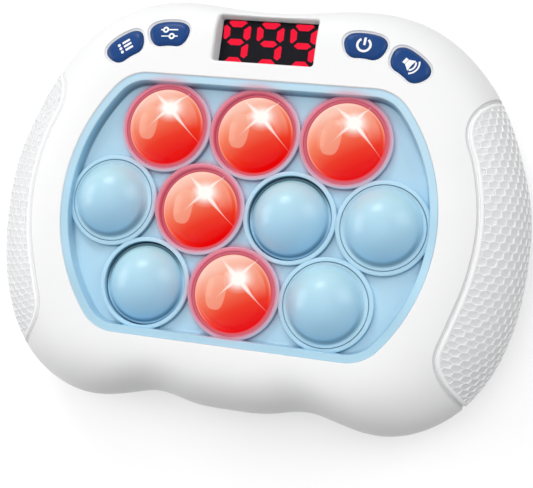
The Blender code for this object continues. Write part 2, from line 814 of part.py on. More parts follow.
def make_tray():
    """The blue insert: a dish under the case's edge, with a collar round each bubble."""
    def ring(grow, z):
        return [(x, y, z) for x, y in tray_outline(grow)]
    under = CREST_Z - WALL - 2 * FIT_GAP
    inside = -FIT_GAP - TRAY_BAND_WIDTH
    tray = loft("bubble_tray", [
        ring(inside - TRAY_WALL_SLOPE, TRAY_FLOOR_Z), ring(inside, BAND_Z), ring(-FIT_GAP, BAND_Z),
        ring(-FIT_GAP, under), ring(TRAY_FLANGE, under), ring(TRAY_FLANGE, under - TRAY_FLANGE_THICKNESS),
        ring(-FIT_GAP, under - TRAY_FLANGE_THICKNESS), ring(-FIT_GAP, TRAY_UNDER_Z)])
    collars = None
    for _, place in bubble_places():
        collar = rod("collar", grid_place(place), COLLAR_RADIUS, TRAY_UNDER_Z + FIT_GAP, COLLAR_Z,
                     BUBBLE_SEGMENTS)
        collars = collar if collars is None else join(collars, collar)
    tray = join(tray, collars)
    posts = [rod("post", grid_place(place), POST_RADIUS, PARTS_Z, TRAY_UNDER_Z + FIT_GAP)
             for place in post_places()]
    tray = join(tray, gather("posts", posts))
    holes = [rod("hole", grid_place(place), COLLAR_HOLE_RADIUS, TRAY_UNDER_Z - OVERRUN,
                 BAND_Z + OVERRUN, BUBBLE_SEGMENTS) for _, place in bubble_places()]
    for place in board_screw_places():
        holes.append(rod("pilot", grid_place(place), BOARD_SCREW_RADIUS + FIT_GAP, PARTS_Z - OVERRUN,
                         BOARD_Z + BOARD_SCREW_LENGTH + FIT_GAP, SMALL_SEGMENTS))
    return finish_mesh(cut(tray, gather("tray_holes", holes)), blue_plastic())


def make_bubble(name, place):
    """A hollow dome on a skirt, with a lip under the tray and a stem down to its switch."""
    top = COLLAR_Z
    lip_z = TRAY_UNDER_Z - FIT_GAP
    skirt = COLLAR_HOLE_RADIUS - FIT_GAP
    lip = skirt + BUBBLE_LIP
    crown = (DOME_RADIUS ** 2 + DOME_HEIGHT ** 2) / (2 * DOME_HEIGHT)
    centre_z = top + DOME_HEIGHT - crown
    reach = math.asin(DOME_RADIUS / crown)
    profile = [(0.0, top + DOME_HEIGHT)]
    for i in range(1, DOME_STEPS + 1):
        a = reach * i / DOME_STEPS
        profile.append((crown * math.sin(a), centre_z + crown * math.cos(a)))
    profile += [(skirt, top), (skirt, lip_z), (lip, lip_z), (lip, lip_z - BUBBLE_LIP_HEIGHT),
                (skirt - SKIRT_WALL, lip_z - BUBBLE_LIP_HEIGHT),
                (skirt - SKIRT_WALL, top - FLANGE_THICKNESS)]
    hollow = crown - DOME_WALL
    low = math.acos((top - FLANGE_THICKNESS - centre_z) / hollow)
    high = math.asin(STEM_RADIUS / hollow)
    for i in range(HOLLOW_STEPS):
        a = low + (high - low) * i / (HOLLOW_STEPS - 1)
        profile.append((hollow * math.sin(a), centre_z + hollow * math.cos(a)))
    stem_z = SWITCH_TOP_Z - STEM_ENGAGEMENT
    profile += [(STEM_RADIUS, stem_z), (0.0, stem_z)]
    centre = grid_place(place)
    bubble = turned(name, centre, profile, BUBBLE_SEGMENTS)
    set_origin(bubble, (*centre, COLLAR_Z))
    if name in PRESSED_BUBBLES:
        bubble.location.z -= PRESSED_DEPTH
    return finish_mesh(bubble, lit_bubble() if name in LIT_BUBBLES else blue_plastic())


def make_bubble_switch(name, place):
    """A square push switch with a well that the bubble's stem runs in."""
    centre = grid_place(place)
    switch = block(name, centre, (SWITCH_SIZE, SWITCH_SIZE), PARTS_Z, SWITCH_TOP_Z)
    depth = STEM_ENGAGEMENT + BUBBLE_TRAVEL + FIT_GAP
    well = rod("well", centre, STEM_RADIUS + FIT_GAP, SWITCH_TOP_Z - depth, SWITCH_TOP_Z + OVERRUN,
               SMALL_SEGMENTS)
    return finish_mesh(cut(switch, well), switch_black())


def make_button(name, place, tilt):
    """A control button: its face follows the case, a lip holds it in and a stem meets its switch."""
    lip_inset = WALL + FIT_GAP
    button = prism(name, button_outline(place, tilt, 0.0), PARTS_Z, CREST_Z + OVERRUN)
    button = common(button, body_solid("button_face", -BUTTON_PROUD))
    lip = prism("lip", button_outline(place, tilt, BUTTON_LIP), PARTS_Z, CREST_Z + OVERRUN)
    button = join(button, common(lip, body_solid("lip_face", lip_inset)))
    button = cut(button, body_solid("button_under", lip_inset, BUTTON_LIP_HEIGHT))
    stem_z = PARTS_Z + TACT_HEIGHT + TACT_PLUNGER_HEIGHT + BUTTON_TRAVEL + FIT_GAP
    stem_top = surface_z(place) - WALL
    button = join(button, rod("stem", grid_place(place), BUTTON_STEM_RADIUS, stem_z, stem_top))
    return set_origin(finish_mesh(button, navy_plastic()), (*grid_place(place), stem_top))


def make_control_switch(name, place):
    centre = grid_place(place)
    switch = block(name, centre, (TACT_SIZE, TACT_SIZE), PARTS_Z, PARTS_Z + TACT_HEIGHT)
    plunger = rod("plunger", centre, TACT_PLUNGER_RADIUS, PARTS_Z + TACT_HEIGHT / 2,
                  PARTS_Z + TACT_HEIGHT + TACT_PLUNGER_HEIGHT, SMALL_SEGMENTS)
    return finish_mesh(join(switch, plunger), switch_black())


def board_screw_places():
    return [post_places()[0], post_places()[3]]


def make_main_board():
    """The board under the tray, with a lamp chip beside each switch and the controller."""
    board = prism("main_board", tray_outline(-BOARD_INSET), BOARD_Z, BOARD_TOP_Z)
    reach = TACT_SIZE / 2 + BOARD_MARGIN
    half_width = max(place[0] for _, place, _ in button_places()) + reach
    high = max(place[1] for _, place, _ in button_places()) + reach
    low = TRAY_HALF_HEIGHT - TRAY_CORNER_RADIUS
    neck = block("neck", grid_place((0.0, (high + low) / 2)), (2 * half_width, high - low),
                 BOARD_Z, BOARD_TOP_Z)
    board = join(board, common(neck, body_solid("board_room", WALL + BOARD_INSET)))
    chips = [block("chip", grid_place(CHIP_PLACE), CHIP_SIZE[:2], BOARD_Z + BOARD_THICKNESS / 2,
                   BOARD_TOP_Z + CHIP_SIZE[2])]
    for _, (x, y) in bubble_places():
        chips.append(block("lamp", grid_place((x, y + LED_OFFSET)), (LED_SIZE, LED_SIZE),
                           BOARD_Z + BOARD_THICKNESS / 2, BOARD_TOP_Z + LED_HEIGHT))
    board = join(board, gather("chips", chips))
    holes = [rod("hole", grid_place(place), BOARD_SCREW_RADIUS + FIT_GAP, BOARD_Z - OVERRUN,
                 BOARD_TOP_Z + OVERRUN, SMALL_SEGMENTS) for place in board_screw_places()]
    return finish_mesh(cut(board, gather("board_holes", holes)), board_green())


def make_display():
    display = prism("display_module", window_outline(DISPLAY_SIDE, DISPLAY_EDGE), PARTS_Z,
                    DISPLAY_TOP_Z)
    return finish_mesh(display, display_black())


def make_screw(name, centre, seat, length, radius, head_radius, head_height):
    """A pan head screw pointing up, its head's upper side at seat, with a cross slot's recess."""
    recess = head_height / 2
    profile = [(0.0, seat - head_height + recess), (head_radius / 2, seat - head_height),
               (head_radius, seat - recess), (head_radius, seat), (radius, seat),
               (radius, seat + length - radius), (0.0, seat + length)]
    return finish_mesh(turned(name, centre, profile, SMALL_SEGMENTS), steel())


def make_cover():
    """The battery cover, flush in the back, with countersunk seats for its two screws."""
    centre, _ = bay_corners()
    cover = prism("battery_cover", rounded_rectangle(centre, cover_size(), COVER_CORNER), 0.0,
                  COVER_THICKNESS)
    holes = []
    for place in cover_screw_places():
        seat = rod("seat", place, SCREW_HEAD_RADIUS + FIT_GAP, -OVERRUN, COVER_SCREW_SEAT)
        hole = rod("hole", place, SCREW_RADIUS + FIT_GAP, COVER_SCREW_SEAT - OVERRUN / 2,
                   COVER_THICKNESS + OVERRUN, SMALL_SEGMENTS)
        holes.append(join(seat, hole))
    cover = finish_mesh(cut(cover, gather("cover_holes", holes)), white_plastic())
    return set_origin(cover, (*centre, 0.0))


def cell_direction(index):
    """+1 where the cell's nub points to +X, -1 where it points to -X."""
    return 1 if index % 2 == 0 else -1


def cell_y(index):
    centre, _ = bay_corners()
    return centre[1] + ((CELL_COUNT - 1) / 2 - index) * CELL_PITCH


def nub_x(index):
    """Where the cell's nub ends, just clear of its contact plate."""
    centre, size = bay_corners()
    return centre[0] + cell_direction(index) * (size[0] / 2 - 2 * FIT_GAP - PLATE_THICKNESS)


def make_cell(index):
    """A size AA cell lying along X."""
    body = CELL_LENGTH - CELL_NUB_LENGTH
    bevel = CELL_RADIUS / 12
    profile = [(0.0, 0.0), (CELL_RADIUS - bevel, 0.0), (CELL_RADIUS, bevel), (CELL_RADIUS, body - bevel),
               (CELL_RADIUS - bevel, body), (CELL_NUB_RADIUS, body), (CELL_NUB_RADIUS, CELL_LENGTH),
               (0.0, CELL_LENGTH)]
    cell = turned(f"battery_{index + 1}", (0.0, 0.0), profile, 2 * SMALL_SEGMENTS)
    direction = cell_direction(index)
    start = nub_x(index) - direction * CELL_LENGTH
    cell.data.transform(Matrix.Rotation(math.radians(90 * direction), 4, "Y"))
    cell.location = (start, cell_y(index), CELL_Z)
    return finish_mesh(cell, cell_label())


def tube(name, path, radius, resolution=1):
    """A round bar along a path, with filled ends."""
    curve = bpy.data.curves.new(name, "CURVE")
    curve.dimensions = "3D"
    curve.bevel_depth = radius
    curve.bevel_resolution = resolution
    curve.use_fill_caps = True
    line = curve.splines.new("POLY")
    line.points.add(len(path) - 1)
    for point, place in zip(line.points, path):
        point.co = (*place, 1.0)
    guide = bpy.data.objects.new(name, curve)
    bpy.context.scene.collection.objects.link(guide)
    graph = bpy.context.evaluated_depsgraph_get()
    mesh = bpy.data.meshes.new_from_object(guide.evaluated_get(graph))
    bpy.data.objects.remove(guide, do_unlink=True)
    weld(mesh, radius / 100)
    thing = bpy.data.objects.new(name, mesh)
    bpy.context.scene.collection.objects.link(thing)
    return face_outwards(thing)


def coil_path(x, y, direction):
    """A conical coil that stands out of its plate along X towards the cell's flat end."""
    steps = round(SPRING_TURNS * 8)
    length = SPRING_LENGTH - SPRING_WIRE_RADIUS - FIT_GAP
    path = []
    for i in range(steps + 1):
        share = i / steps
        a = 2 * math.pi * SPRING_TURNS * share
        radius = SPRING_RADII[0] + (SPRING_RADII[1] - SPRING_RADII[0]) * share
        path.append((x + direction * length * share, y + radius * math.cos(a),
                     CELL_Z + radius * math.sin(a)))
    return path


def make_contact(name, end, cells, tab):
    """A contact plate at one end of the bay, sprung where it meets a cell's flat end."""
    centre, size = bay_corners()
    x = centre[0] + end * (size[0] / 2 - FIT_GAP - PLATE_THICKNESS / 2)
    low = min(cell_y(i) for i in cells) - PLATE_WIDTH / 2
    high = max(cell_y(i) for i in cells) + PLATE_WIDTH / 2
    contact = block(name, (x, (low + high) / 2), (PLATE_THICKNESS, high - low),
                    CELL_Z - PLATE_HEIGHT / 2, CELL_Z + PLATE_HEIGHT / 2)
    if tab:
        contact = join(contact, block("tab", (x, cell_y(cells[0])), (PLATE_THICKNESS, TAB_WIDTH),
                                      CELL_Z, BAY_CEILING_Z + BAY_WALL + TAB_RISE))
    for i in cells:
        if cell_direction(i) != end:
            coil = tube("coil", coil_path(x, cell_y(i), -end), SPRING_WIRE_RADIUS, 0)
            contact = join(contact, coil)
    return finish_mesh(contact, steel())


def make_speaker():
    """A small round speaker, its frame towards the grille and its magnet inwards."""
    base = WALL + FIT_GAP
    rim = SPEAKER_THICKNESS / 4
    profile = [(0.0, base + rim), (SPEAKER_RADIUS - SPEAKER_WALL, base), (SPEAKER_RADIUS, base),
               (SPEAKER_RADIUS, base + rim), (SPEAKER_MAGNET_RADIUS, base + 2 * rim),
               (SPEAKER_MAGNET_RADIUS, base + SPEAKER_THICKNESS), (0.0, base + SPEAKER_THICKNESS)]
    speaker = turned("speaker", speaker_place(), profile, 2 * ROUND_SEGMENTS)
    return finish_mesh(speaker, speaker_grey())


def make_leads():
    """The battery's and the speaker's wires, each up to the board's underside."""
    tab_z = BAY_CEILING_Z + BAY_WALL + TAB_RISE / 2
    board = BOARD_Z - FIT_GAP
    rise = board - tab_z
    for name, paint, (x, y), out in (
            ("battery_lead_black", wire_black(), contact_slots()[0], -1),
            ("battery_lead_red", wire_red(), contact_slots()[1], 1)):
        start = x + out * (PLATE_THICKNESS / 2 + FIT_GAP)
        points = [(start + out * WIRE_SPREAD * along, y, tab_z + rise * up)
                  for along, up in BATTERY_LEAD_SHARES]
        finish_mesh(tube(name, smooth_path(points, 3), WIRE_RADIUS), paint)
    x, y = speaker_place()
    start = WALL + 2 * FIT_GAP + SPEAKER_THICKNESS
    for name, paint, side in (("speaker_lead_red", wire_red(), 1),
                              ("speaker_lead_black", wire_black(), -1)):
        points = [(x - SPEAKER_MAGNET_RADIUS * along, y + side * WIRE_SPREAD * across,
                   start + (board - start) * up) for along, across, up in SPEAKER_LEAD_SHARES]
        finish_mesh(tube(name, smooth_path(points, 3), WIRE_RADIUS), paint)


def build():
    clear_scene()
    make_front_shell()
    make_back_shell()
    make_grip("right_grip", 1)
    make_grip("left_grip", -1)
    make_tray()
    for spot, place in bubble_places():
        make_bubble(f"bubble_{spot}", place)
        make_bubble_switch(f"bubble_switch_{spot}", place)
    for label, place, tilt in button_places():
        make_button(f"{label}_button", place, tilt)
        make_control_switch(f"{label}_switch", place)
    make_main_board()
    make_display()
    make_cover()
    make_speaker()
    for i, place in enumerate(screw_places()):
        make_screw(f"housing_screw_{i + 1}", grid_place(place), SCREW_SEAT_Z - FIT_GAP,
                   PARTING_Z + SCREW_GRIP - SCREW_SEAT_Z, SCREW_RADIUS, SCREW_HEAD_RADIUS,
                   SCREW_HEAD_HEIGHT)
    for i, place in enumerate(cover_screw_places()):
        make_screw(f"battery_cover_screw_{i + 1}", place, COVER_SCREW_SEAT - FIT_GAP, COVER_SCREW_LENGTH,
                   SCREW_RADIUS, SCREW_HEAD_RADIUS, COVER_SCREW_SEAT - 2 * FIT_GAP)
    for i, place in enumerate(board_screw_places()):
        make_screw(f"board_screw_{i + 1}", grid_place(place), BOARD_Z - FIT_GAP, BOARD_SCREW_LENGTH,
                   BOARD_SCREW_RADIUS, BOARD_SCREW_HEAD_RADIUS, BOARD_SCREW_HEAD_HEIGHT)
    for i in range(CELL_COUNT):
        make_cell(i)
    make_contact("battery_spring_contact", -1, [0], True)
    make_contact("battery_link_right", 1, [0, 1], False)
    make_contact("battery_link_left", -1, [1, 2], False)
    make_contact("battery_plate_contact", 1, [2], True)
    make_leads()


build()
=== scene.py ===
"""Electronic bubble pop game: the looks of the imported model, in its own frame.

Shapes are worked out in millimetres and written to the meshes in metres.
"""

import math

import bmesh
import bpy
import numpy as np
from mathutils import Matrix, Vector
from mathutils.geometry import delaunay_2d_cdt


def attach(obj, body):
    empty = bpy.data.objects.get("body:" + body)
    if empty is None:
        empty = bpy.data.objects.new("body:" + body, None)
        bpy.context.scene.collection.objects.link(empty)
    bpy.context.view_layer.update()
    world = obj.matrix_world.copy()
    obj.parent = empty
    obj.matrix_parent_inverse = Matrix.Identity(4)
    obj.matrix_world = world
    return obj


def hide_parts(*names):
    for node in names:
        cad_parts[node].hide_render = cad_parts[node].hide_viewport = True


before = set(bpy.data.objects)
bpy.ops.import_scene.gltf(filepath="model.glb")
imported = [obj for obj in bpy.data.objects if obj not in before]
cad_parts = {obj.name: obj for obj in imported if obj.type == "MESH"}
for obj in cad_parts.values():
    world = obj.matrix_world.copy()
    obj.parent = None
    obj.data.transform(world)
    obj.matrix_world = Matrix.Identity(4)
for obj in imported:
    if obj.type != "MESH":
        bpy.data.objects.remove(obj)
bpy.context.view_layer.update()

# The case, in millimetres, as in the CAD model: heights of its crest and parting line, how square
# the face's curve is at the sides and ends, the back's flat share, the grid's middle below the case's
BODY_WIDTH, BODY_HEIGHT = 169.0, 129.2
CREST, PARTING, WALL, FIT = 42.0, 18.5, 2.4, 0.3
CROWN_SIDE, CROWN_TOP, CROWN_BOTTOM = 2.1, 7.0, 3.2
BACK_SHARE = 0.80
GRID_DROP = 3.7
OUTLINE = (
    (0.000, -0.983), (0.150, -0.972), (0.330, -0.946), (0.520, -0.9992), (0.700, -0.947),
    (0.820, -0.832), (0.915, -0.655), (0.972, -0.440), (0.9994, -0.130), (0.986, 0.150),
    (0.944, 0.344), (0.862, 0.594), (0.734, 0.808), (0.600, 0.935), (0.450, 0.994),
    (0.300, 0.9982), (0.150, 0.976), (0.000, 0.964))

# The tray's opening and heights, the display's window, and the grips with their honeycomb
TRAY_X, TRAY_Y, TRAY_SIDE, TRAY_CORNER = 57.6, 40.15, 56.4, 13.1
BAND, FLOOR, COLLAR, UNDER = 41.4, 36.7, 39.0, 34.9
WINDOW_WIDTH, WINDOW_LOW, WINDOW_HIGH, WINDOW_CORNER = 31.2, 5.45, 5.35, 0.9
GRIP_EDGE = (
    (1.150, 0.730), (0.950, 0.676), (0.845, 0.608), (0.768, 0.505), (0.750, 0.395),
    (0.787, 0.255), (0.814, 0.085), (0.819, -0.085), (0.798, -0.280), (0.754, -0.475),
    (0.726, -0.610), (0.757, -0.710), (0.828, -0.803), (0.920, -0.910), (1.050, -1.070))
GRIP_BACK = 5.0
CELL_WIDTH, CELL_ROW, CELL_POINT = 3.7, 2.3, 0.5

# The bubbles: a low one stands in by SUNK. Domes, their holes and the collars round them
PITCH, SUNK = 28.0, 1.6
ROWS = (("top", 3), ("middle", 4), ("bottom", 3))
LOW = ("bubble_top_2", "bubble_middle_2", "bubble_middle_3", "bubble_bottom_1")
LIT = ("bubble_top_1", "bubble_top_2", "bubble_top_3", "bubble_middle_2", "bubble_bottom_2")
DOME_RISE, DOME_BASE, DOME_EDGE = 7.98, 11.5, 11.2
HOLE, HOLE_EASE, COLLAR_FLAT, COLLAR_EASE = 12.7, 0.35, 13.55, 0.65

# Buttons: place on the band by degrees and share of its width, and tilt. Screws: place on the band
BUTTONS = (
    ("menu", 132.65, 0.3924, 35.0), ("settings", 119.95, 0.4690, 3.5),
    ("power", 60.05, 0.4690, -3.5), ("sound", 47.35, 0.3924, -35.0))
SCREWS = (
    (37.7, 0.553), (142.3, 0.553), (-20.0, 0.450), (-160.0, 0.450), (-46.8, 0.474), (-133.2, 0.474))

# The back
BAY, BAY_SIZE = (0.0, 4.0), (57.5, 45.1)
COVER_SIZE, COVER_CORNER = (71.7, 55.1), 5.0
COVER_SCREWS = ((32.15, 4.0), (-32.15, 4.0))
SPEAKER = (55.13, 4.0)

# How far the shown case stays inside the CAD model's, whose outline has corners
SHRINK = 0.10
CUT, JOIN, COMMON = "DIFFERENCE", "UNION", "INTERSECT"
BLACK, FULL_WHITE = (0.0, 0.0, 0.0), (1.0, 1.0, 1.0)


# ---------------------------------------------------------------- the case's surface

def make_spline(knots, values):
    """A smooth closed curve of value over angle."""
    count = len(knots)
    steps = (np.roll(knots, -1) - knots) % (2 * math.pi)
    before, slopes, one = np.roll(steps, 1), (np.roll(values, -1) - values) / steps, np.eye(count)
    rows = (np.roll(one, -1, 1) * before[:, None] + one * (2 * (before + steps))[:, None]
            + np.roll(one, 1, 1) * steps[:, None])
    bends = np.linalg.solve(rows, 6 * (slopes - np.roll(slopes, 1)))
    starts = np.concatenate([[0.0], np.cumsum(steps)[:-1]])

    def value_at(angle):
        offset = (np.asarray(angle, float) - knots[0]) % (2 * math.pi)
        i = np.searchsorted(starts, offset, side="right") - 1
        j = (i + 1) % count
        step, left = steps[i], offset - starts[i]
        rest = step - left
        curve = (bends[i] * rest ** 3 + bends[j] * left ** 3) / (6 * step)
        curve += (values[i] / step - bends[i] * step / 6) * rest
        return curve + (values[j] / step - bends[j] * step / 6) * left
    return value_at


def in_case(shares):
    """Points from the grid's middle, from shares of the case's half width and height."""
    return np.array(shares) * (BODY_WIDTH / 2, BODY_HEIGHT / 2) + (0.0, GRID_DROP)


def to_polar(points):
    """The points' angles and radii in the plan."""
    return np.arctan2(points[:, 1], points[:, 0]), np.hypot(points[:, 0], points[:, 1])


def make_outline():
    right = in_case(OUTLINE)
    angles, radii = to_polar(np.vstack([right, right[-2:0:-1] * (-1, 1)]))
    return make_spline(angles % (2 * math.pi), radii)


spline = make_outline()


def outer_radius(angle):
    return spline(angle) - SHRINK


def tray_radius(angle, grow=0.0):
    """The tray opening's radius: straight top and bottom, bowed sides, round corners."""
    across, up = np.abs(np.cos(angle)), np.maximum(np.abs(np.sin(angle)), 1e-9)
    height, side, corner = TRAY_Y + grow, TRAY_SIDE + grow, TRAY_CORNER + grow
    side_x, corner_y, reach = TRAY_X - TRAY_SIDE, TRAY_Y - TRAY_CORNER, TRAY_SIDE - TRAY_CORNER
    corner_x = side_x + math.sqrt(reach ** 2 - corner_y ** 2)
    far = side_x * across + np.sqrt(np.maximum(side ** 2 - (side_x * up) ** 2, 0))
    along = corner_x * across + corner_y * up
    bend = along + np.sqrt(np.maximum(corner ** 2 - (corner_x * up - corner_y * across) ** 2, 0))
    made = np.where(far * up <= corner_y * side / reach, far, bend)
    return np.where(height * across / up <= corner_x, height / up, made)


def limits(angle):
    """The radii between which the face's curve runs."""
    return tray_radius(angle, -1.0), outer_radius(angle)


def crown(angle):
    """How square the face's curve is at an angle."""
    up = np.sin(angle)
    end = np.where(up > 0, CROWN_TOP, CROWN_BOTTOM)
    return CROWN_SIDE + (end - CROWN_SIDE) * up ** 4


def level(angle, radius, z, front):
    """Zero on the case's surface, more outside it."""
    inner, outer = limits(angle)
    share = np.clip((radius - inner) / (outer - inner), 0.0, None)
    face = share ** crown(angle) + ((z - PARTING) / (CREST - PARTING)) ** 2 - 1
    depth = (1 - BACK_SHARE) * outer
    back = (np.clip(radius - outer + depth, 0, None) / depth) ** 2 + ((PARTING - z) / PARTING) ** 2 - 1
    return np.where(front, face, back)


def normals_at(points, front):
    """Outward unit normals of the case's surface at points given from the grid's middle."""
    (angle, radius), z, e = to_polar(points), points[:, 2], 1e-4

    def slope(turn, out, up):
        return (level(angle + turn, radius + out, z + up, front)
                - level(angle - turn, radius - out, z - up, front)) / (2 * e)
    out, turn, up = slope(0, e, 0), slope(e, 0, 0) / radius, slope(0, 0, e)
    cos, sin = np.cos(angle), np.sin(angle)
    made = np.stack([out * cos - turn * sin, out * sin + turn * cos, up], 1)
    return made / np.linalg.norm(made, axis=1)[:, None]


def face_z(x, y):
    """The height of the case's face over a place given from the grid's middle."""
    angle = np.arctan2(y, x)
    inner, outer = limits(angle)
    share = np.clip((np.hypot(x, y) - inner) / (outer - inner), 0, 1)
    return PARTING + (CREST - PARTING) * np.sqrt(1 - share ** crown(angle))


def run_along(x, y):
    """The way run along a line up to each of its points."""
    return np.concatenate([[0], np.cumsum(np.hypot(np.diff(x), np.diff(y)))])


def case_curve(angle, front, turn):
    """The case's section at an angle, with the parting line at a quarter turn: radii, heights, run."""
    inner, edge = limits(angle)
    if front:
        radius = inner + (edge - inner) * np.sin(turn) ** (2 / crown(angle))
        z = PARTING + (CREST - PARTING) * np.cos(turn)
    else:
        radius = edge - (1 - BACK_SHARE) * edge * (1 - np.sin(turn))
        z = PARTING - PARTING * np.cos(turn)
    return radius, z, run_along(radius, z)


def band_place(degrees, share):
    """A place on the band between the tray and the case's edge."""
    angle = math.radians(degrees)
    near = float(tray_radius(angle))
    radius = near + (float(spline(angle)) - near) * share
    return (radius * math.cos(angle), radius * math.sin(angle))


RISE = PITCH * math.sin(math.radians(60))
PLACES = {f"bubble_{label}_{i + 1}": ((i - (count - 1) / 2) * PITCH, (1 - row) * RISE)
          for row, (label, count) in enumerate(ROWS) for i in range(count)}


# ---------------------------------------------------------------- meshes

def show(name, data):
    """A new object in the scene."""
    thing = bpy.data.objects.new(name, data)
    bpy.context.scene.collection.objects.link(thing)
    return thing


def add_object(name, verts, faces):
    """A new object from points in millimetres given from the grid's middle."""
    mesh = bpy.data.meshes.new(name)
    mesh.from_pydata([tuple(map(float, v)) for v in verts], [], [tuple(map(int, f)) for f in faces])
    return show(name, mesh)


def rework(mesh, change):
    """Let a function change a mesh as a bmesh shape."""
    shape = bmesh.new()
    shape.from_mesh(mesh)
    change(shape)
    shape.to_mesh(mesh)
    shape.free()


def face_outwards(thing):
    def turn(shape):
        bmesh.ops.recalc_face_normals(shape, faces=shape.faces)
        if shape.calc_volume(signed=True) < 0:
            bmesh.ops.reverse_faces(shape, faces=shape.faces)
    rework(thing.data, turn)
    return thing


def side_faces(count, low, high):
    """Faces between two rings of points that start at the given numbers."""
    turns = [(i, (i + 1) % count) for i in range(count)]
    return [(low + i, low + j, high + j, high + i) for i, j in turns]


def loft(name, rings, closed=False):
    """A solid through rings of equal count, each an array of points."""
    count, levels = len(rings[0]), len(rings)
    faces = []
    for low in range(levels if closed else levels - 1):
        faces += side_faces(count, low * count, (low + 1) % levels * count)
    if not closed:
        faces.append(tuple(range(count - 1, -1, -1)))
        faces.append(tuple(range((levels - 1) * count, levels * count)))
    return face_outwards(add_object(name, np.concatenate(rings), faces))


def turned(name, centre, profile, segments):
    """A body turned round Z from (radius, height) points that begin and end on the axis."""
    middle, angles = profile[1:-1], ring_angles(segments)
    verts = [(*centre, profile[0][1])]
    verts += [(centre[0] + radius * math.cos(a), centre[1] + radius * math.sin(a), z)
              for radius, z in middle for a in angles]
    verts.append((*centre, profile[-1][1]))
    last, tail, faces = len(verts) - 1, 1 + (len(middle) - 1) * segments, []
    for i in range(segments):
        j = (i + 1) % segments
        faces.append((0, 1 + i, 1 + j))
        for low in range(1, tail, segments):
            faces.append((low + i, low + segments + i, low + segments + j, low + j))
        faces.append((tail + i, last, tail + j))
    return face_outwards(add_object(name, verts, faces))


def quarter(steps, first=1):
    """Pairs of 1 - cosine and sine over a quarter turn, for rounded edges."""
    turns = [math.pi / 2 * k / steps for k in range(first, steps + 1)]
    return [(1 - math.cos(a), math.sin(a)) for a in turns]


def ring_points(outline, z):
    """Plan points at one height, or at a height each."""
    outline = np.asarray(outline, float)
    return np.column_stack([outline, np.broadcast_to(z, len(outline))])


def spoke(angles, radius, x=0.0, y=0.0):
    """Plan points at angles and radii round a middle."""
    return np.column_stack([x + radius * np.cos(angles), y + radius * np.sin(angles)])


def polar(angles, radius, z):
    return ring_points(spoke(angles, radius), z)


def prism(name, outline, low, high):
    return loft(name, [ring_points(outline, low), ring_points(outline, high)])


def ring_angles(count):
    return np.arange(count) * 2 * math.pi / count


def circle(centre, radius, segments):
    return spoke(ring_angles(segments), radius, *centre)


def rod(name, centre, radius, low, high, segments=40):
    return prism(name, circle(centre, radius, segments), low, high)


def block(name, centre, size, low, high):
    return prism(name, bar(*centre, *size), low, high)


def weld(mesh, distance=1e-4):
    def close(shape):
        bmesh.ops.remove_doubles(shape, verts=shape.verts, dist=distance)
        bmesh.ops.dissolve_degenerate(shape, edges=shape.edges, dist=distance)
    rework(mesh, close)


def combine(operation, target, *tools):
    """Run an exact Boolean with each tool in turn and keep the result as the target's mesh."""
    for tool in tools:
        change = target.modifiers.new("change", "BOOLEAN")
        change.operation = operation
        change.solver = "EXACT"
        change.object = tool
        graph = bpy.context.evaluated_depsgraph_get()
        made = bpy.data.meshes.new_from_object(target.evaluated_get(graph))
        weld(made)
        target.modifiers.clear()
        target.data = made
        bpy.data.objects.remove(tool, do_unlink=True)
    return target


def gather(name, tools):
    """Put separate bodies into one mesh."""
    shape = bmesh.new()
    for tool in tools:
        shape.from_mesh(tool.data)
        bpy.data.objects.remove(tool, do_unlink=True)
    mesh = bpy.data.meshes.new(name)
    shape.to_mesh(mesh)
    shape.free()
    return show(name, mesh)


def set_kinds(thing, kinds):
    """Give the faces their paints' numbers, one for all or one each."""
    faces = thing.data.polygons
    faces.foreach_set("material_index", kinds if isinstance(kinds, list) else [kinds] * len(faces))


def read(items, field, width=1, kind=float):
    """A field of each item as an array."""
    made = np.empty(len(items) * width, kind)
    items.foreach_get(field, made)
    return made.reshape(-1, width) if width > 1 else made


def polish(mesh, crease, skin):
    """Shade smooth but for sharp edges; faces on the case's skin take the surface's own normals."""
    mesh.shade_smooth()
    mesh.set_sharp_from_angle(angle=math.radians(crease))
    if skin is None:
        return
    points = read(mesh.vertices, "co", 3)
    front = points[:, 2] > PARTING
    away = np.abs(level(*to_polar(points), points[:, 2], front))
    made = normals_at(points, front)
    ends = read(mesh.loops, "vertex_index", kind=int)
    sizes = read(mesh.polygons, "loop_total", kind=int)
    owner = np.repeat(np.arange(len(sizes)), sizes)
    facing = read(mesh.polygons, "normal", 3)[owner]
    alike = np.sum(facing * made[ends], 1) > math.cos(math.radians(14))
    count = np.bincount(owner, weights=~((away[ends] < skin) & alike), minlength=len(sizes))
    keep = count[owner] == 0
    custom = np.where(keep[:, None], made[ends], 0.0)
    mesh.normals_split_custom_set([tuple(v) for v in custom])


def settle(thing, body, slot, paint, *replaced, origin=(0.0, 0.0, 0.0), crease=30.0, skin=None):
    polish(thing.data, crease, skin)
    shift = Matrix.Translation((-origin[0], -origin[1], -origin[2]))
    thing.data.transform(Matrix.Scale(0.001, 4) @ shift)
    thing.location = (origin[0] / 1000, (origin[1] - GRID_DROP) / 1000, origin[2] / 1000)
    kinds = [face.material_index for face in thing.data.polygons]
    thing.data.materials.clear()
    for one in paint if isinstance(paint, tuple) else (paint,):
        thing.data.materials.append(one)
    if isinstance(paint, tuple):
        set_kinds(thing, kinds)
    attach(thing, body)
    if replaced:
        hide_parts(*replaced)


# ---------------------------------------------------------------- materials

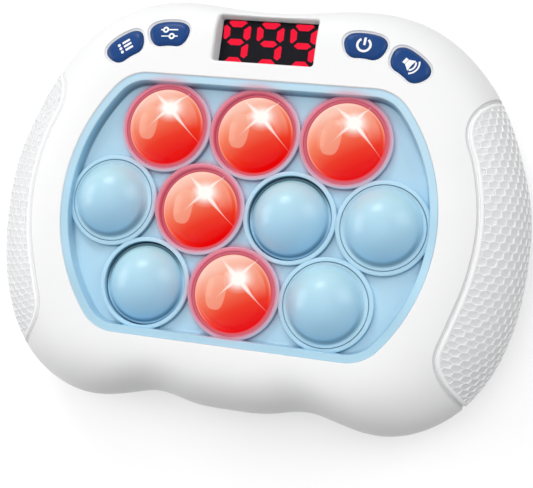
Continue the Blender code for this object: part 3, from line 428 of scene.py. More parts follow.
class Chain:
    """A node tree with short ways to add nodes to it."""

    def __init__(self, tree):
        self.tree = tree

    def feed(self, socket, value):
        """Link an output to a socket, or set the socket's value."""
        if isinstance(value, bpy.types.NodeSocket):
            self.tree.links.new(value, socket)
        else:
            socket.default_value = (*value, 1.0) if socket.type == "RGBA" else value

    def node(self, kind, inputs=None, **settings):
        made = self.tree.nodes.new("ShaderNode" + kind)
        for key, value in settings.items():
            setattr(made, key, value)
        for key, value in (inputs or {}).items():
            self.feed(made.inputs[key], value)
        return made

    def math(self, operation, *values, clamp=False):
        return self.node("Math", dict(enumerate(values)), operation=operation, use_clamp=clamp).outputs[0]

    def vector(self, operation, a, b):
        made = self.node("VectorMath", {0: a, 1: b}, operation=operation).outputs
        return made["Value" if operation in ("DOT_PRODUCT", "DISTANCE") else "Vector"]

    def parts(self, vector):
        return self.node("SeparateXYZ", {"Vector": vector}).outputs

    def ramp(self, factor, stops, mode="LINEAR"):
        """Colours over a factor; a number stands for a grey."""
        made = self.node("ValToRGB", {"Fac": factor})
        elements = made.color_ramp.elements
        made.color_ramp.interpolation = mode
        while len(elements) < len(stops):
            elements.new(0.5)
        for element, (place, colour) in zip(elements, stops):
            element.position = place
            element.color = (*(colour if isinstance(colour, tuple) else (colour,) * 3), 1.0)
        return made.outputs["Color"]

    def spread(self, value, low, high, to_low=0.0, to_high=1.0, smooth=True):
        """A value's span mapped to levels, as a smooth step or evenly."""
        made = self.node("MapRange", {0: value, 1: low, 2: high, 3: to_low, 4: to_high})
        if smooth:
            made.interpolation_type = "SMOOTHSTEP"
        return made.outputs[0]

    def times(self, *values):
        """The product of values; a tuple stands for a smooth step: value, start, end and maybe levels."""
        made = None
        for value in values:
            value = self.spread(*value) if isinstance(value, tuple) else value
            made = value if made is None else self.math("MULTIPLY", made, value)
        return made

    def shades(self, value, low, high, stops, mode="LINEAR"):
        """Colours over a value's even span."""
        return self.ramp(self.spread(value, low, high, smooth=False), stops, mode)

    def mix(self, factor, a, b, blend="MIX"):
        """Two colours mixed; a tuple for the factor is a product, as in times."""
        factor = self.times(*factor) if isinstance(factor, tuple) else factor
        made = self.node("Mix", {0: factor, 6: a, 7: b}, data_type="RGBA", blend_type=blend)
        return made.outputs[2]

    def seen(self):
        """One for rays that show the background: from the camera, a gloss or through glass."""
        path = self.node("LightPath").outputs
        made = path["Is Camera Ray"]
        for name in ("Is Glossy Ray", "Is Transmission Ray"):
            made = self.math("MAXIMUM", made, path[name])
        return made


class Paint(Chain):
    """A Principled material whose sockets are fed by small procedural node chains."""

    def __init__(self, name, roughness, **values):
        self.made = bpy.data.materials.new(name)
        self.made.use_nodes = True
        super().__init__(self.made.node_tree)
        self.shader = self.tree.nodes["Principled BSDF"]
        self.shader.inputs["Roughness"].default_value = roughness
        for key, value in values.items():
            self.shader.inputs[key.replace("_", " ")].default_value = value
        self.coords = self.node("TexCoord").outputs["Object"]

    def link(self, output, socket):
        self.tree.links.new(output, self.shader.inputs[socket])

    def noise(self, scale, detail=2.0):
        made = self.node("TexNoise", {"Vector": self.coords, "Scale": scale, "Detail": detail})
        return made.outputs["Fac"]

    def cloud(self, scale, dark, light, detail=2.0):
        """Slight cloudiness between two colours."""
        return self.ramp(self.noise(scale, detail), ((0.3, dark), (0.7, light)))

    def grain(self, strength, scale=3000.0):
        made = self.node("Bump", {"Height": self.noise(scale), "Strength": strength, "Distance": 0.00002})
        self.link(made.outputs["Normal"], "Normal")

    def plan(self):
        """The place in the plan, in millimetres."""
        return self.vector("MULTIPLY", self.coords, (1000.0, 1000.0, 0.0))

    def radius(self, x=0.0, y=0.0):
        """The distance in the plan from a spot, in millimetres."""
        return self.vector("DISTANCE", self.plan(), (x, y, 0.0))


def plain(name, dark, light, roughness, scale, grain=0.0, **values):
    """A moulded or metal surface: slight cloudiness in its colour and gloss, and a fine grain."""
    paint = Paint(name, roughness, **values)
    paint.link(paint.cloud(scale, dark, light, 3.0), "Base Color")
    paint.link(paint.cloud(scale * 3, roughness * 0.93, min(roughness * 1.07, 1.0)), "Roughness")
    if grain:
        paint.grain(grain)
    return paint.made


def make_tray_blue():
    """Light blue plastic with the lit bubbles' light painted on it as a pink glow close round them."""
    paint = Paint("tray_blue", 0.34, Coat_Weight=0.1, Emission_Strength=0.16)
    blue = paint.cloud(70.0, (0.437, 0.690, 0.850), (0.462, 0.715, 0.870), 3.0)

    def nearest(shift_x, shift_y):
        """The distance to the nearest lit bubble's middle, or to a spot beside it."""
        made = None
        for x, y in (PLACES[name] for name in LIT):
            away = paint.radius(x + shift_x, y + shift_y)
            made = paint.math("MINIMUM", made, away) if made else away
        return made
    near = nearest(0.0, 0.0)
    # Painted glow: the lit bubbles' light, pink close round each of them and fading outwards
    painted_glow = paint.shades(nearest(-0.3, 0.45), 12.4, 17.4, (
        (0.0, 0.95), (0.16, 0.80), (0.36, 0.36), (0.60, 0.07), (1.0, 0.0)))
    blue = paint.mix(painted_glow, blue, (0.64, 0.110, 0.170))

    # Painted shade on steep walls that face away from the light, darker towards their foot
    normal = paint.node("NewGeometry").outputs["Normal"]
    steep = paint.spread(paint.parts(normal)[2], 0.85, 0.45)
    away = paint.vector("DOT_PRODUCT", normal, (0.30, -0.95, 0.0))
    _, along, height = paint.parts(paint.coords)
    wall = paint.shades(height, 0.0382, 0.0414, (
        (0.0, (0.075, 0.195, 0.285)), (0.4, (0.135, 0.370, 0.530)), (1.0, (0.300, 0.620, 0.800))))
    blue = paint.mix((steep, (away, 0.05, 0.75, 0.0, 0.9), (near, 12.9, 13.7, 0.35, 1.0)), blue, wall)

    # The lip: painted light on its upper side, painted shade on its lower one
    flat = paint.times((height, 0.0411, 0.0413), (steep, 0.4, 0.1))
    blue = paint.mix((flat, (along, 0.0, 0.025, 0.0, 0.20)), blue, (0.640, 0.820, 0.920))
    blue = paint.mix((flat, (along, -0.015, -0.030, 0.0, 0.75)), blue, (0.365, 0.600, 0.740))
    paint.link(blue, "Base Color")
    # The painted glow also shows as a faint emission
    paint.link(paint.mix(painted_glow, BLACK, (0.55, 0.03, 0.10)), "Emission Color")
    paint.grain(0.08)
    return paint.made


def make_glow():
    """A lit bubble that glows from its lamp: a painted star glint and painted reflections over red that
    pales to peach away from its lower side.
    """
    paint = Paint("bubble_glow", 0.16, Specular_IOR_Level=0.15, Emission_Strength=0.94)
    flat = paint.plan()
    x, y, _ = paint.parts(flat)
    radius = paint.radius()
    slope = paint.math("ADD", paint.times(x, -0.026), paint.times(y, 0.046))
    # Painted glow and reflected light: deep red on the lower side, paling to peach towards the upper side
    body = paint.shades(slope, -0.564, 0.50, (
        (0.0, (0.80, 0.0, 0.0)), (0.10, (0.82, 0.008, 0.004)), (0.26, (0.84, 0.034, 0.012)),
        (0.40, (0.86, 0.10, 0.045)), (0.60, (0.90, 0.215, 0.115)), (0.82, (0.94, 0.41, 0.29)),
        (1.0, (0.96, 0.64, 0.53))))

    def ahead(start, degrees, unit=1.0):
        """How far a place lies from a start on the way that the degrees give."""
        a = math.radians(degrees)
        return paint.vector("DOT_PRODUCT", start, (math.cos(a) / unit, math.sin(a) / unit, 0.0))

    # Painted reflections: a tall rounded pane on the left, a crescent on the right, a pale rim
    pane_reflection = []
    for degrees, middle, half in ((-6.0, -3.2, 3.15), (84.0, -0.72, 5.15)):
        out = paint.math("SUBTRACT", ahead(flat, degrees, half), middle / half)
        pane_reflection.append(paint.math("POWER", paint.math("ABSOLUTE", out), 2.7))
    pane_reflection = paint.spread(paint.math("ADD", *pane_reflection), 1.10, 0.88)
    body = paint.mix((pane_reflection, 0.44), body, (0.97, 0.52, 0.38))
    crescent_reflection = ((radius, 10.65, 10.3), (paint.radius(-2.2, -3.0), 9.8, 10.6), (slope, -0.30, 0.05))
    body = paint.mix((*crescent_reflection, 0.36), body, (0.97, 0.50, 0.38))
    body = paint.mix(((radius, 11.05, 11.35), (slope, -0.45, 0.0), 0.45), body, (0.98, 0.52, 0.38))

    # The flange: the lamp's glow painted on, fading outwards, with a painted brighter red on its lower side
    flange = paint.shades(radius, 11.6, 12.4, (
        (0.0, (0.38, 0.025, 0.045)), (0.35, (0.58, 0.090, 0.130)), (1.0, (0.60, 0.140, 0.20))))
    flange_glow = ((radius, 12.45, 11.7), (slope, 0.05, -0.45, 0.0, 0.80))
    body = paint.mix(((radius, 11.5, 11.75),), body, paint.mix(flange_glow, flange, (0.86, 0.075, 0.085)))

    # A painted glint: the lamp's hot spot with its four star rays; per ray: way, reach and half width at
    # the spot
    hot = (2.9, 4.3)
    spot = paint.shades(paint.radius(*hot), 0.0, 4.7, (
        (0.0, 1.0), (0.36, 1.0), (0.54, 0.56), (0.76, 0.17), (1.0, 0.0)))
    start = paint.vector("SUBTRACT", flat, (*hot, 0.0))
    for degrees, reach, half in (
            (142.0, 12.0, 2.9), (-46.0, 13.0, 2.3), (64.5, 9.8, 2.9), (-132.0, 9.6, 2.8)):
        way = ahead(start, degrees)
        fade = paint.spread(way, 0.0, reach, 1.0, 0.0, smooth=False)
        width = paint.math("ADD", paint.times(paint.math("POWER", fade, 3.3), half), 0.14)
        ray = paint.math("DIVIDE", paint.math("ABSOLUTE", ahead(start, degrees + 90.0)), width)
        ray = paint.math("MULTIPLY", paint.math("SUBTRACT", 1.0, ray, clamp=True), 1.3, clamp=True)
        spot = paint.math("MAXIMUM", spot, paint.times(ray, (fade, -0.05, 0.95), (way, -0.2, 0.3)))
    body = paint.mix(spot, body, (1.0, 0.975, 0.93))
    paint.link(paint.mix(0.94, body, BLACK), "Base Color")
    paint.link(body, "Emission Color")
    paint.grain(0.03, 2600.0)
    return paint.made


def make_dome(name, gap_shade, inner, light):
    """An unlit bubble with painted shading: deeper blue towards its lower side, a painted shadow ring round
    its foot, painted shade in the gap above it, a lighter flange.
    """
    paint = Paint(name, 0.28, Specular_IOR_Level=0.42)
    radius = paint.radius()
    rise = paint.vector("DOT_PRODUCT", paint.coords, (-220.0, 975.0, 0.0))
    rise = paint.math("ADD", rise, paint.times(paint.noise(60.0), 0.8))
    turn = paint.math("DIVIDE", rise, paint.math("MAXIMUM", radius, 1.0))
    # Painted shade and light: deeper blue towards the lower side, paler towards the upper
    blue = paint.shades(rise, -10.0, 10.8, (
        (0.0, (0.310, 0.590, 0.830)), (0.5, (0.405, 0.665, 0.825)), (1.0, (0.505, 0.775, 0.850))))
    blue = paint.mix(((radius, inner + 0.5, inner + 1.1, 0.0, light),), blue, (0.480, 0.735, 0.880))
    # Painted shadow of the dome on its foot's lower side
    foot = ((radius, inner, inner + 1.1), (turn, 0.05, -0.75, 0.0, 0.80 - 0.12 * light),
            (radius, inner + 1.05, 12.05, 1.0, 0.30 * (1.0 - light)))
    blue = paint.mix(foot, blue, (0.040, 0.150, 0.250))
    # Painted shade in the gap on the upper side, deepest for the low bubbles
    foot = ((radius, 11.35, 11.6), (turn, -0.1, 0.7, 0.0, gap_shade))
    paint.link(paint.mix(foot, blue, (0.036, 0.115, 0.170)), "Base Color")
    paint.grain(0.05)
    return paint.made


# The case's white, and a grey that paints the shade into the grooves along the grips
CASE = (
    plain("case_white", (0.895, 0.897, 0.902), (0.915, 0.915, 0.918), 0.33, 60.0, 0.10,
          Specular_IOR_Level=0.14),
    plain("groove_shade", (0.700, 0.702, 0.712), (0.730, 0.732, 0.740), 0.45, 60.0, 0.10))
# Grey for the grips' cells: the rubber's tone, darkened as painted shade; near white for the border, and as
# a painted highlight on some cell walls
GRIP = (
    plain("grip_grey", (0.815, 0.820, 0.830), (0.845, 0.850, 0.860), 0.45, 420.0, 0.3),
    plain("grip_ridge", (0.960, 0.962, 0.967), (0.982, 0.982, 0.986), 0.40, 420.0, 0.15))
STEEL = plain("bright_steel", (0.52, 0.52, 0.53), (0.66, 0.66, 0.67), 0.28, 500.0, Metallic=1.0)
BLUE, GLOW = make_tray_blue(), make_glow()
# Two shadings of one blue: the raised bubbles' with a lighter flange and light painted shade in the gap,
# the low bubbles' with deep painted shade there and no lighter flange
DOME, DOME_LOW = make_dome("dome_blue", 0.25, 9.9, 0.9), make_dome("dome_blue_low", 0.88, 10.5, 0.0)
NAVY = plain("button_navy", (0.004, 0.047, 0.195), (0.006, 0.056, 0.222), 0.30, 200.0, 0.12,
             Specular_IOR_Level=0.20)
MARK = Paint("icon_white", 0.5)
MARK.link(MARK.cloud(900.0, (0.90, 0.90, 0.91), 0.95), "Base Color")
DIGITS = Paint("digit_red", 0.6, Specular_IOR_Level=0.05, Emission_Strength=0.95)
DIGITS.link(DIGITS.cloud(400.0, (0.05, 0.0, 0.002), (0.06, 0.0, 0.003)), "Base Color")
DIGITS.link(DIGITS.cloud(500.0, (0.93, 0.010, 0.040), (0.97, 0.013, 0.050)), "Emission Color")


def dress_nodes():
    """Procedural materials for the CAD nodes that stay; the first word found in a name counts."""
    board = Paint("board_green", 0.42)
    lanes = board.node("TexBrick", {
        "Vector": board.coords, "Scale": 260.0, "Mortar Size": 0.012, "Color1": (0.012, 0.15, 0.06),
        "Color2": (0.014, 0.18, 0.075), "Mortar": (0.03, 0.28, 0.12)})
    board.link(lanes.outputs["Color"], "Base Color")
    cell = Paint("cell_wrap", 0.3, Coat_Weight=0.4)
    cell.link(cell.shades(cell.parts(cell.coords)[0], -0.028, 0.028, (
        (0.0, 0.5), (0.03, (0.02, 0.02, 0.022)), (0.66, (0.02, 0.02, 0.022)),
        (0.70, (0.10, 0.34, 0.16)), (0.97, (0.12, 0.38, 0.18)), (1.0, 0.5)), "CONSTANT"), "Base Color")
    paints = (
        ("_red", plain("wire_red", (0.52, 0.015, 0.015), (0.64, 0.025, 0.02), 0.45, 900.0, 0.1)),
        ("_black", plain("wire_dark", (0.015, 0.015, 0.016), (0.03, 0.03, 0.03), 0.45, 900.0, 0.1)),
        ("switch", plain("switch_body", (0.012, 0.012, 0.014), (0.022, 0.022, 0.024), 0.5, 400.0, 0.2)),
        ("main_board", board.made),
        ("display_module", plain("display_glass", (0.005, 0.005, 0.009), (0.007, 0.007, 0.012), 0.30, 300.0,
                                 Specular_IOR_Level=0.12)),
        ("speaker", plain("speaker_cone", (0.07, 0.07, 0.08), (0.13, 0.13, 0.14), 0.6, 700.0, 0.4)),
        ("battery_1", cell.made), ("battery_2", cell.made), ("battery_3", cell.made),
        ("battery_", STEEL), ("board_screw", STEEL), ("housing_screw", STEEL))
    for name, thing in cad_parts.items():
        for paint in [paint for word, paint in paints if word in name][:1]:
            for place in thing.material_slots:
                place.material = paint


# ---------------------------------------------------------------- plan shapes

def turn_plan(points, tilt, place):
    lean = math.radians(tilt)
    points = np.asarray(points, float)
    return np.column_stack([
        place[0] + points[:, 0] * math.cos(lean) - points[:, 1] * math.sin(lean),
        place[1] + points[:, 0] * math.sin(lean) + points[:, 1] * math.cos(lean)])


def button_outline(place, tilt, grow):
    """A short bent bar with round ends, hollow on its lower side, grown by a clearance."""
    half_length, half_width, bend, square, ends, sides = 6.2 + grow, 3.9 + grow, 18.0, 0.84, 14, 9
    corner = half_width * 0.98
    reach = (half_length - corner) / bend
    spots = []
    for side, start, end in ((1, -reach, reach), (-1, reach, -reach)):
        spots += [(bend + side * half_width, start + (end - start) * i / (sides - 1)) for i in range(sides)]
        for b in (math.pi * i / ends for i in range(1, ends)):
            wide, far = math.copysign(abs(math.cos(b)) ** square, math.cos(b)), math.sin(b) ** square
            spots.append((bend + side * half_width * wide, end + side * corner * far / bend))
    return turn_plan([(r * math.sin(a), r * math.cos(a) - bend) for r, a in spots], tilt, place)


def rounded_rectangle(centre, size, corner, steps=8):
    turns, x, y = np.arange(steps + 1) / steps, size[0] / 2 - corner, size[1] / 2 - corner
    return np.concatenate([
        spoke(math.pi / 2 * (k + turns), corner, centre[0] + sx * x, centre[1] + sy * y)
        for k, (sx, sy) in enumerate(((1, 1), (-1, 1), (-1, -1), (1, -1)))])


def bar(x, y, length, width):
    return np.array([(x - length / 2, y - width / 2), (x + length / 2, y - width / 2),
                     (x + length / 2, y + width / 2), (x - length / 2, y + width / 2)])


def arc(x, y, inner, outer, start, end, steps=24):
    a = np.radians(np.linspace(start, end, steps))
    return np.concatenate([spoke(a, outer, x, y), spoke(a[::-1], inner, x, y)])


def along_edges(outline, step):
    """More points on the straight stretches of a closed outline."""
    made = []
    for a, b in zip(outline, np.roll(outline, -1, 0)):
        count = max(1, int(np.linalg.norm(b - a) / step))
        made += [a + (b - a) * i / count for i in range(count)]
    return np.array(made)


def inside(points, loop):
    """Which points lie inside a closed loop."""
    x, y = points[:, 0][:, None], points[:, 1][:, None]
    ax, ay = loop[:, 0][None], loop[:, 1][None]
    bx, by = np.roll(loop[:, 0], -1)[None], np.roll(loop[:, 1], -1)[None]
    straddle = (ay > y) != (by > y)
    cross = ax + (y - ay) * (bx - ax) / np.where(by == ay, 1e-12, by - ay)
    return (np.sum(straddle & (x < cross), 1) % 2) == 1


def to_loop(points, loop):
    """Signed distance to a closed loop, positive inside, and the unit direction inwards."""
    gap = np.roll(loop, -1, 0) - loop
    made_d, made_n = [], []
    for start in range(0, len(points), 2000):
        p = points[start:start + 2000]
        t = np.clip(np.sum((p[:, None] - loop[None]) * gap[None], 2) / np.sum(gap ** 2, 1)[None], 0, 1)
        away = p[:, None] - (loop[None] + t[..., None] * gap[None])
        size = np.linalg.norm(away, axis=2)
        best = np.argmin(size, 1)
        rows = np.arange(len(p))
        made_d.append(size[rows, best])
        made_n.append(away[rows, best] / np.maximum(size[rows, best], 1e-9)[:, None])
    sign = np.where(inside(points, loop), 1.0, -1.0)
    return np.concatenate(made_d) * sign, np.concatenate(made_n) * sign[:, None]


def fill(loop, step):
    """Triangles that fill a closed loop, with inner points a step apart: points and faces."""
    loop = np.asarray(loop, float)
    spans = [np.arange(low + step / 2, high, step) for low, high in zip(loop.min(0), loop.max(0))]
    x, y = np.meshgrid(*spans)
    grid = np.column_stack([x.ravel(), y.ravel()])
    if len(grid):
        grid = grid[to_loop(grid, loop)[0] > step * 0.45]
    points = np.concatenate([loop, grid]) if len(grid) else loop
    edges = [(i, (i + 1) % len(loop)) for i in range(len(loop))]
    made = delaunay_2d_cdt([Vector(p) for p in points], edges, [], 1, 1e-7)
    return np.array([tuple(p) for p in made[0]]), [tuple(f) for f in made[2]]


def stack(name, loops, lift, step):
    """A closed solid between two filled ends: loops are (plan outline, level) pairs, low to high.

    lift(points, level) gives the points in space.
    """
    count = len(loops[0][0])
    verts, faces = [lift(np.asarray(outline, float), at) for outline, at in loops], []
    for k in range(1, len(loops)):
        faces += side_faces(count, (k - 1) * count, k * count)
    base = len(loops) * count
    for outline, at in (loops[0], loops[-1]):
        points, triangles = fill(outline, step)
        verts.append(lift(points, at))
        faces += [tuple(base + i for i in f) for f in triangles]
        base += len(points)
    thing = add_object(name, np.concatenate(verts), faces)
    weld(thing.data, 2e-4)
    return face_outwards(thing)


def on_face(points, at):
    """Lift plan points to a height over the case's face, or to a fixed height given as a tuple."""
    return ring_points(points, at[0] if isinstance(at, tuple) else face_z(*points.T) + at)


def flared(name, outline_at, low, rim, tall, seat=0.0):
    """A cutter up through the face that leaves a rounded edge, and a ledge of width seat under it."""
    loops = [(outline_at(-seat), (low,))]
    if seat:
        loops.append((outline_at(-seat), -tall - 0.12))
    loops.append((outline_at(0.0), -tall))
    loops += [(outline_at(rim * out), -tall + tall * up) for out, up in quarter(5)]
    loops += [(outline_at(rim * 1.25), 0.05), (outline_at(rim * 1.5), 1.5)]
    return stack(name, loops, on_face, 3.0)


# ---------------------------------------------------------------- the case's sides, unrolled

class Wrap:
    """The right side of the case unrolled: u runs along the parting line, v up over the face."""

    def __init__(self):
        self.angles = np.linspace(-math.pi / 2, math.pi / 2, 721)
        self.v = np.arange(-34.0, 46.0, 0.25)
        run = run_along(*polar(self.angles, outer_radius(self.angles), 0.0)[:, :2].T)
        self.runs = run - np.interp(0.0, self.angles, run)
        self.curves, tables = [], []
        for angle in self.angles:
            curves = [case_curve(angle, front, np.linspace(math.pi / 2, 0.0, count))
                      for front, count in ((False, 120), (True, 260))]
            radius, z, run = (np.concatenate([low[:0:-1] * sign, high])
                              for low, high, sign in zip(*curves, (1, 1, -1)))
            tables.append((np.interp(self.v, run, radius), np.interp(self.v, run, z)))
            self.curves.append(curves)
        self.radius, self.z = np.array(tables).transpose(1, 0, 2)

    def place(self, uv, height):
        """Points in space, height off the surface."""
        uv = np.asarray(uv, float)
        angle = np.interp(uv[:, 0], self.runs, self.angles)
        fi = (angle - self.angles[0]) / (self.angles[1] - self.angles[0])
        fj = np.clip((uv[:, 1] - self.v[0]) / (self.v[1] - self.v[0]), 0, len(self.v) - 1.001)
        i, j = np.clip(fi.astype(int), 0, len(self.angles) - 2), fj.astype(int)
        a, b = fi - i, fj - j

        def blend(table):
            return ((1 - a) * (1 - b) * table[i, j] + a * (1 - b) * table[i + 1, j]
                    + (1 - a) * b * table[i, j + 1] + a * b * table[i + 1, j + 1])
        points = polar(angle, blend(self.radius), blend(self.z))
        height = np.broadcast_to(np.asarray(height, float), (len(points),))
        return points + normals_at(points, uv[:, 1] >= 0) * height[:, None]

    def unroll(self, angle, front, value, kind=0):
        """The place where the section at an angle has a given radius (kind 0) or height (kind 1)."""
        k = int(round((angle - self.angles[0]) / (self.angles[1] - self.angles[0])))
        curve = self.curves[min(max(k, 0), len(self.curves) - 1)][front]
        v = float(np.interp(value, curve[kind][::-1], curve[2][::-1]))
        return (float(np.interp(angle, self.angles, self.runs)), v if front else -v)


def smooth_line(points, steps):
    """Points on a Catmull-Rom curve through the given ones."""
    p = np.vstack([2 * points[0] - points[1], points, 2 * points[-1] - points[-2]])
    made = []
    for i in range(1, len(p) - 2):
        a, b, c, d = p[i - 1:i + 3]
        for k in range(steps):
            t = k / steps
            made.append(0.5 * (2 * b + (c - a) * t + (2 * a - 5 * b + 4 * c - d) * t ** 2
                               + (3 * b - a - 3 * c + d) * t ** 3))
    made.append(p[-2])
    return np.array(made)


def even_loop(points, step):
    """A closed loop's points set an even step apart."""
    x, y = np.vstack([points, points[:1]]).T
    run = run_along(x, y)
    at = np.linspace(0, run[-1], int(run[-1] / step) + 1)[:-1]
    return np.column_stack([np.interp(at, run, x), np.interp(at, run, y)])


def grip_loop():
    """The grip's edge in the unrolled side, anticlockwise: over the face, then round the back."""
    line = smooth_line(in_case(GRIP_EDGE), 12)
    angles, radii = to_polar(line)
    short = radii / outer_radius(angles)
    first, last = np.flatnonzero(short < 1.0)[[0, -1]]
    limit = 1 - (1 - BACK_SHARE) * (1 - math.sin(math.acos((GRIP_BACK - PARTING) / PARTING)))

    def crossing(a, b):
        """Where the line meets the case's edge."""
        return line[a] + (line[b] - line[a]) * ((1 - short[a]) / (short[b] - short[a]))

    def beside(order):
        """The points near the case's edge, up to the first gap of 8 mm."""
        near = [line[i] for i in order if short[i] > limit]
        gaps = (i for i in range(1, len(near)) if np.linalg.norm(near[i] - near[i - 1]) > 8)
        return near[:next(gaps, len(near))]

    def unrolled(points, front):
        return [wrap.unroll(math.atan2(y, x), front, math.hypot(x, y)) for x, y in points]
    top, bottom = crossing(first - 1, first), crossing(last, last + 1)
    down, up = beside(range(last, first - 1, -1)), beside(range(first, last + 1))
    start, end = (math.atan2(*near[-1][::-1]) for near in (down or [bottom], up or [top]))
    back = [wrap.unroll(a, False, GRIP_BACK, 1) for a in np.linspace(start, end, 60)[1:-1]]
    loop = even_loop(np.array(unrolled([top, *line[first:last + 1], bottom], True) + unrolled(down, False)
                              + back + unrolled(up, False)[::-1]), 0.7)
    for _ in range(8):
        loop = (np.roll(loop, 1, 0) + 2 * loop + np.roll(loop, -1, 0)) / 4
    area = np.sum(loop[:, 0] * np.roll(loop[:, 1], -1) - np.roll(loop[:, 0], -1) * loop[:, 1])
    return loop if area > 0 else loop[::-1]


wrap = Wrap()
GRIP_LOOP = grip_loop()


def grip_edge(grow):
    """The grip's edge moved outwards."""
    along = np.roll(GRIP_LOOP, -1, 0) - np.roll(GRIP_LOOP, 1, 0)
    along /= np.linalg.norm(along, axis=1)[:, None]
    return GRIP_LOOP + np.column_stack([along[:, 1], -along[:, 0]]) * grow


def mirror(thing):
    thing.data.transform(Matrix.Diagonal((-1.0, 1.0, 1.0, 1.0)))
    thing.data.flip_normals()


def grip_tools():
    """What the case gives up to the grips: skin under them, and a rounded channel along their edge."""
    tools = []
    for side in (1, -1):
        for kind, profile in enumerate((
                ((0.2, -1.5), (0.2, 1.2)),
                ((0.62, -0.62), (0.80, -0.52), (0.92, -0.34), (1.0, -0.16), (1.14, -0.04), (1.3, 0.02),
                 (1.5, 1.2)))):
            tool = stack("grip_cutter", [(grip_edge(grow), z) for grow, z in profile], wrap.place, 3.0)
            # The channel's cutter brings the second paint: painted shade in the groove
            set_kinds(tool, kind)
            if side < 0:
                mirror(tool)
            tools.append(tool)
    return tools


def make_grip(name, side):
    """A smooth rounded border with a honeycomb of shallow cells inside it."""
    profile = ((-0.16, -1.15), (-0.16, -0.66), (0.0, -0.58), (0.06, -0.42), (0.16, -0.2), (0.34, -0.05),
               (0.58, -0.01), (0.8, -0.01), (1.06, -0.05), (1.26, -0.18), (1.36, -0.4), (1.36, -1.15))
    rings = [wrap.place(grip_edge(-d), h) for d, h in profile]
    border = loft("grip_border", list(np.stack(rings, 1)), closed=True)
    set_kinds(border, 1)

    # The honeycomb's corners, each shared by its cells; floors lean, and rows lean with the photograph
    top, floor_depth, under, inset = -0.10, -0.31, -1.12, 0.8
    low, high = GRIP_LOOP.min(0), GRIP_LOOP.max(0)
    tall, flank = (CELL_ROW + CELL_POINT) / 2, (CELL_ROW - CELL_POINT) / 2
    around = ((tall, 0), (flank, CELL_WIDTH / 2), (-flank, CELL_WIDTH / 2), (-tall, 0),
              (-flank, -CELL_WIDTH / 2), (flank, -CELL_WIDTH / 2))
    floor = [floor_depth + 0.085 * du + 0.06 * dv for du, dv in around]
    corners, cells = {}, []
    for a in range(int(low[0] / CELL_ROW) - 5, int(high[0] / CELL_ROW) + 6):
        for b in range(int(low[1] / CELL_WIDTH) - 1, int(high[1] / CELL_WIDTH) + 2):
            u, v = a * CELL_ROW, (b + (a % 2) / 2) * CELL_WIDTH
            cells.append([corners.setdefault((round((u + du) * 20), round((v + dv) * 20)),
                                             (len(corners), (u + du, v + dv)))[0] for du, dv in around])
    spots = np.array([spot for _, spot in sorted(corners.values())])
    spots[:, 0] -= spots[:, 1] * (0.11 - 0.11 * np.tanh((spots[:, 0] + 2.0) / 12.0))
    depth, inward = to_loop(spots, GRIP_LOOP)
    clamp = depth < inset
    spots[clamp] += inward[clamp] * (inset - depth[clamp])[:, None]
    cells = [cell for cell in cells if not all(clamp[i] for i in cell)]

    # Every cell: two rings below its edge, a floor, and a lid on the skin's underside
    count = len(spots)
    total, faces, kinds, owner, ring_uv, ring_h = 2 * count, [], [], {}, [], []
    for cell in cells:
        points = spots[cell]
        middle = points.mean(0)
        for share, heights in ((0.88, [-0.12] * 6), (0.80, floor)):
            ring_uv.append(middle + (points - middle) * share)
            ring_h += heights
        for i in range(6):
            j = (i + 1) % 6
            edge = (cell[i], cell[j])
            faces += [(*edge, total + j, total + i), (total + i, total + j, total + 6 + j, total + 6 + i)]
            # Painted highlight: three of each cell's six walls take the near white; the others take the
            # grey
            kinds += [int(i in (2, 3, 4)), 0]
            owner.setdefault(tuple(sorted(edge)), []).append(edge)
        faces += [tuple(total + 6 + i for i in range(6)), tuple(count + i for i in reversed(cell))]
        kinds += [0, 0]
        total += 12
    for a, b in (users[0] for users in owner.values() if len(users) == 1):
        faces.append((b, a, count + a, count + b))
    comb = add_object("grip_comb", np.concatenate([
        wrap.place(spots, top), wrap.place(spots, under),
        wrap.place(np.concatenate(ring_uv), np.array(ring_h))]), faces)
    set_kinds(comb, kinds + [0] * (len(faces) - len(kinds)))

    def clean(shape):
        bmesh.ops.delete(shape, geom=[v for v in shape.verts if not v.link_faces], context="VERTS")
        bmesh.ops.remove_doubles(shape, verts=shape.verts, dist=1e-4)
        bmesh.ops.recalc_face_normals(shape, faces=shape.faces)
    rework(comb.data, clean)
    grip = gather(name + "_skin", [border, comb])
    if side < 0:
        mirror(grip)
    settle(grip, "housing", "grip_rubber", GRIP, name)


# ---------------------------------------------------------------- the case

def section_rings(angles, start, front, inset, count):
    """Rings of the case's surface an even run apart, from radius start (front) or the parting line."""
    lines = []
    for k, angle in enumerate(angles):
        if front:
            inner, edge = limits(angle)
            share = (start[k] - inner) / (edge - inner)
            turn = np.linspace(math.asin(min(share ** (crown(angle) / 2), 1.0)), math.pi / 2, 300)
        else:
            turn = np.linspace(math.pi / 2, 0.0, 200)
        radius, z, run = case_curve(angle, front, turn)
        at = np.linspace(0, run[-1], count)
        lines.append((np.interp(at, run, radius), np.interp(at, run, z)))
    rings = []
    for radius, z in np.array(lines).transpose(2, 1, 0):
        points = polar(angles, radius, z)
        if inset:
            points = points - normals_at(points, np.full(len(points), front)) * inset
        rings.append(points)
    return rings


def two_tone(shell):
    """Slots for white and for the grooves' painted shade, which the grooves' cutters bring in."""
    for paint in CASE:
        shell.data.materials.append(paint)
    return shell


def window_outline(grow):
    low, high = TRAY_Y + WINDOW_LOW - grow, float(spline(math.pi / 2)) - WINDOW_HIGH + grow
    size = (WINDOW_WIDTH + 2 * grow, high - low)
    return along_edges(rounded_rectangle((0.0, (low + high) / 2), size, WINDOW_CORNER + grow, 6), 1.5)


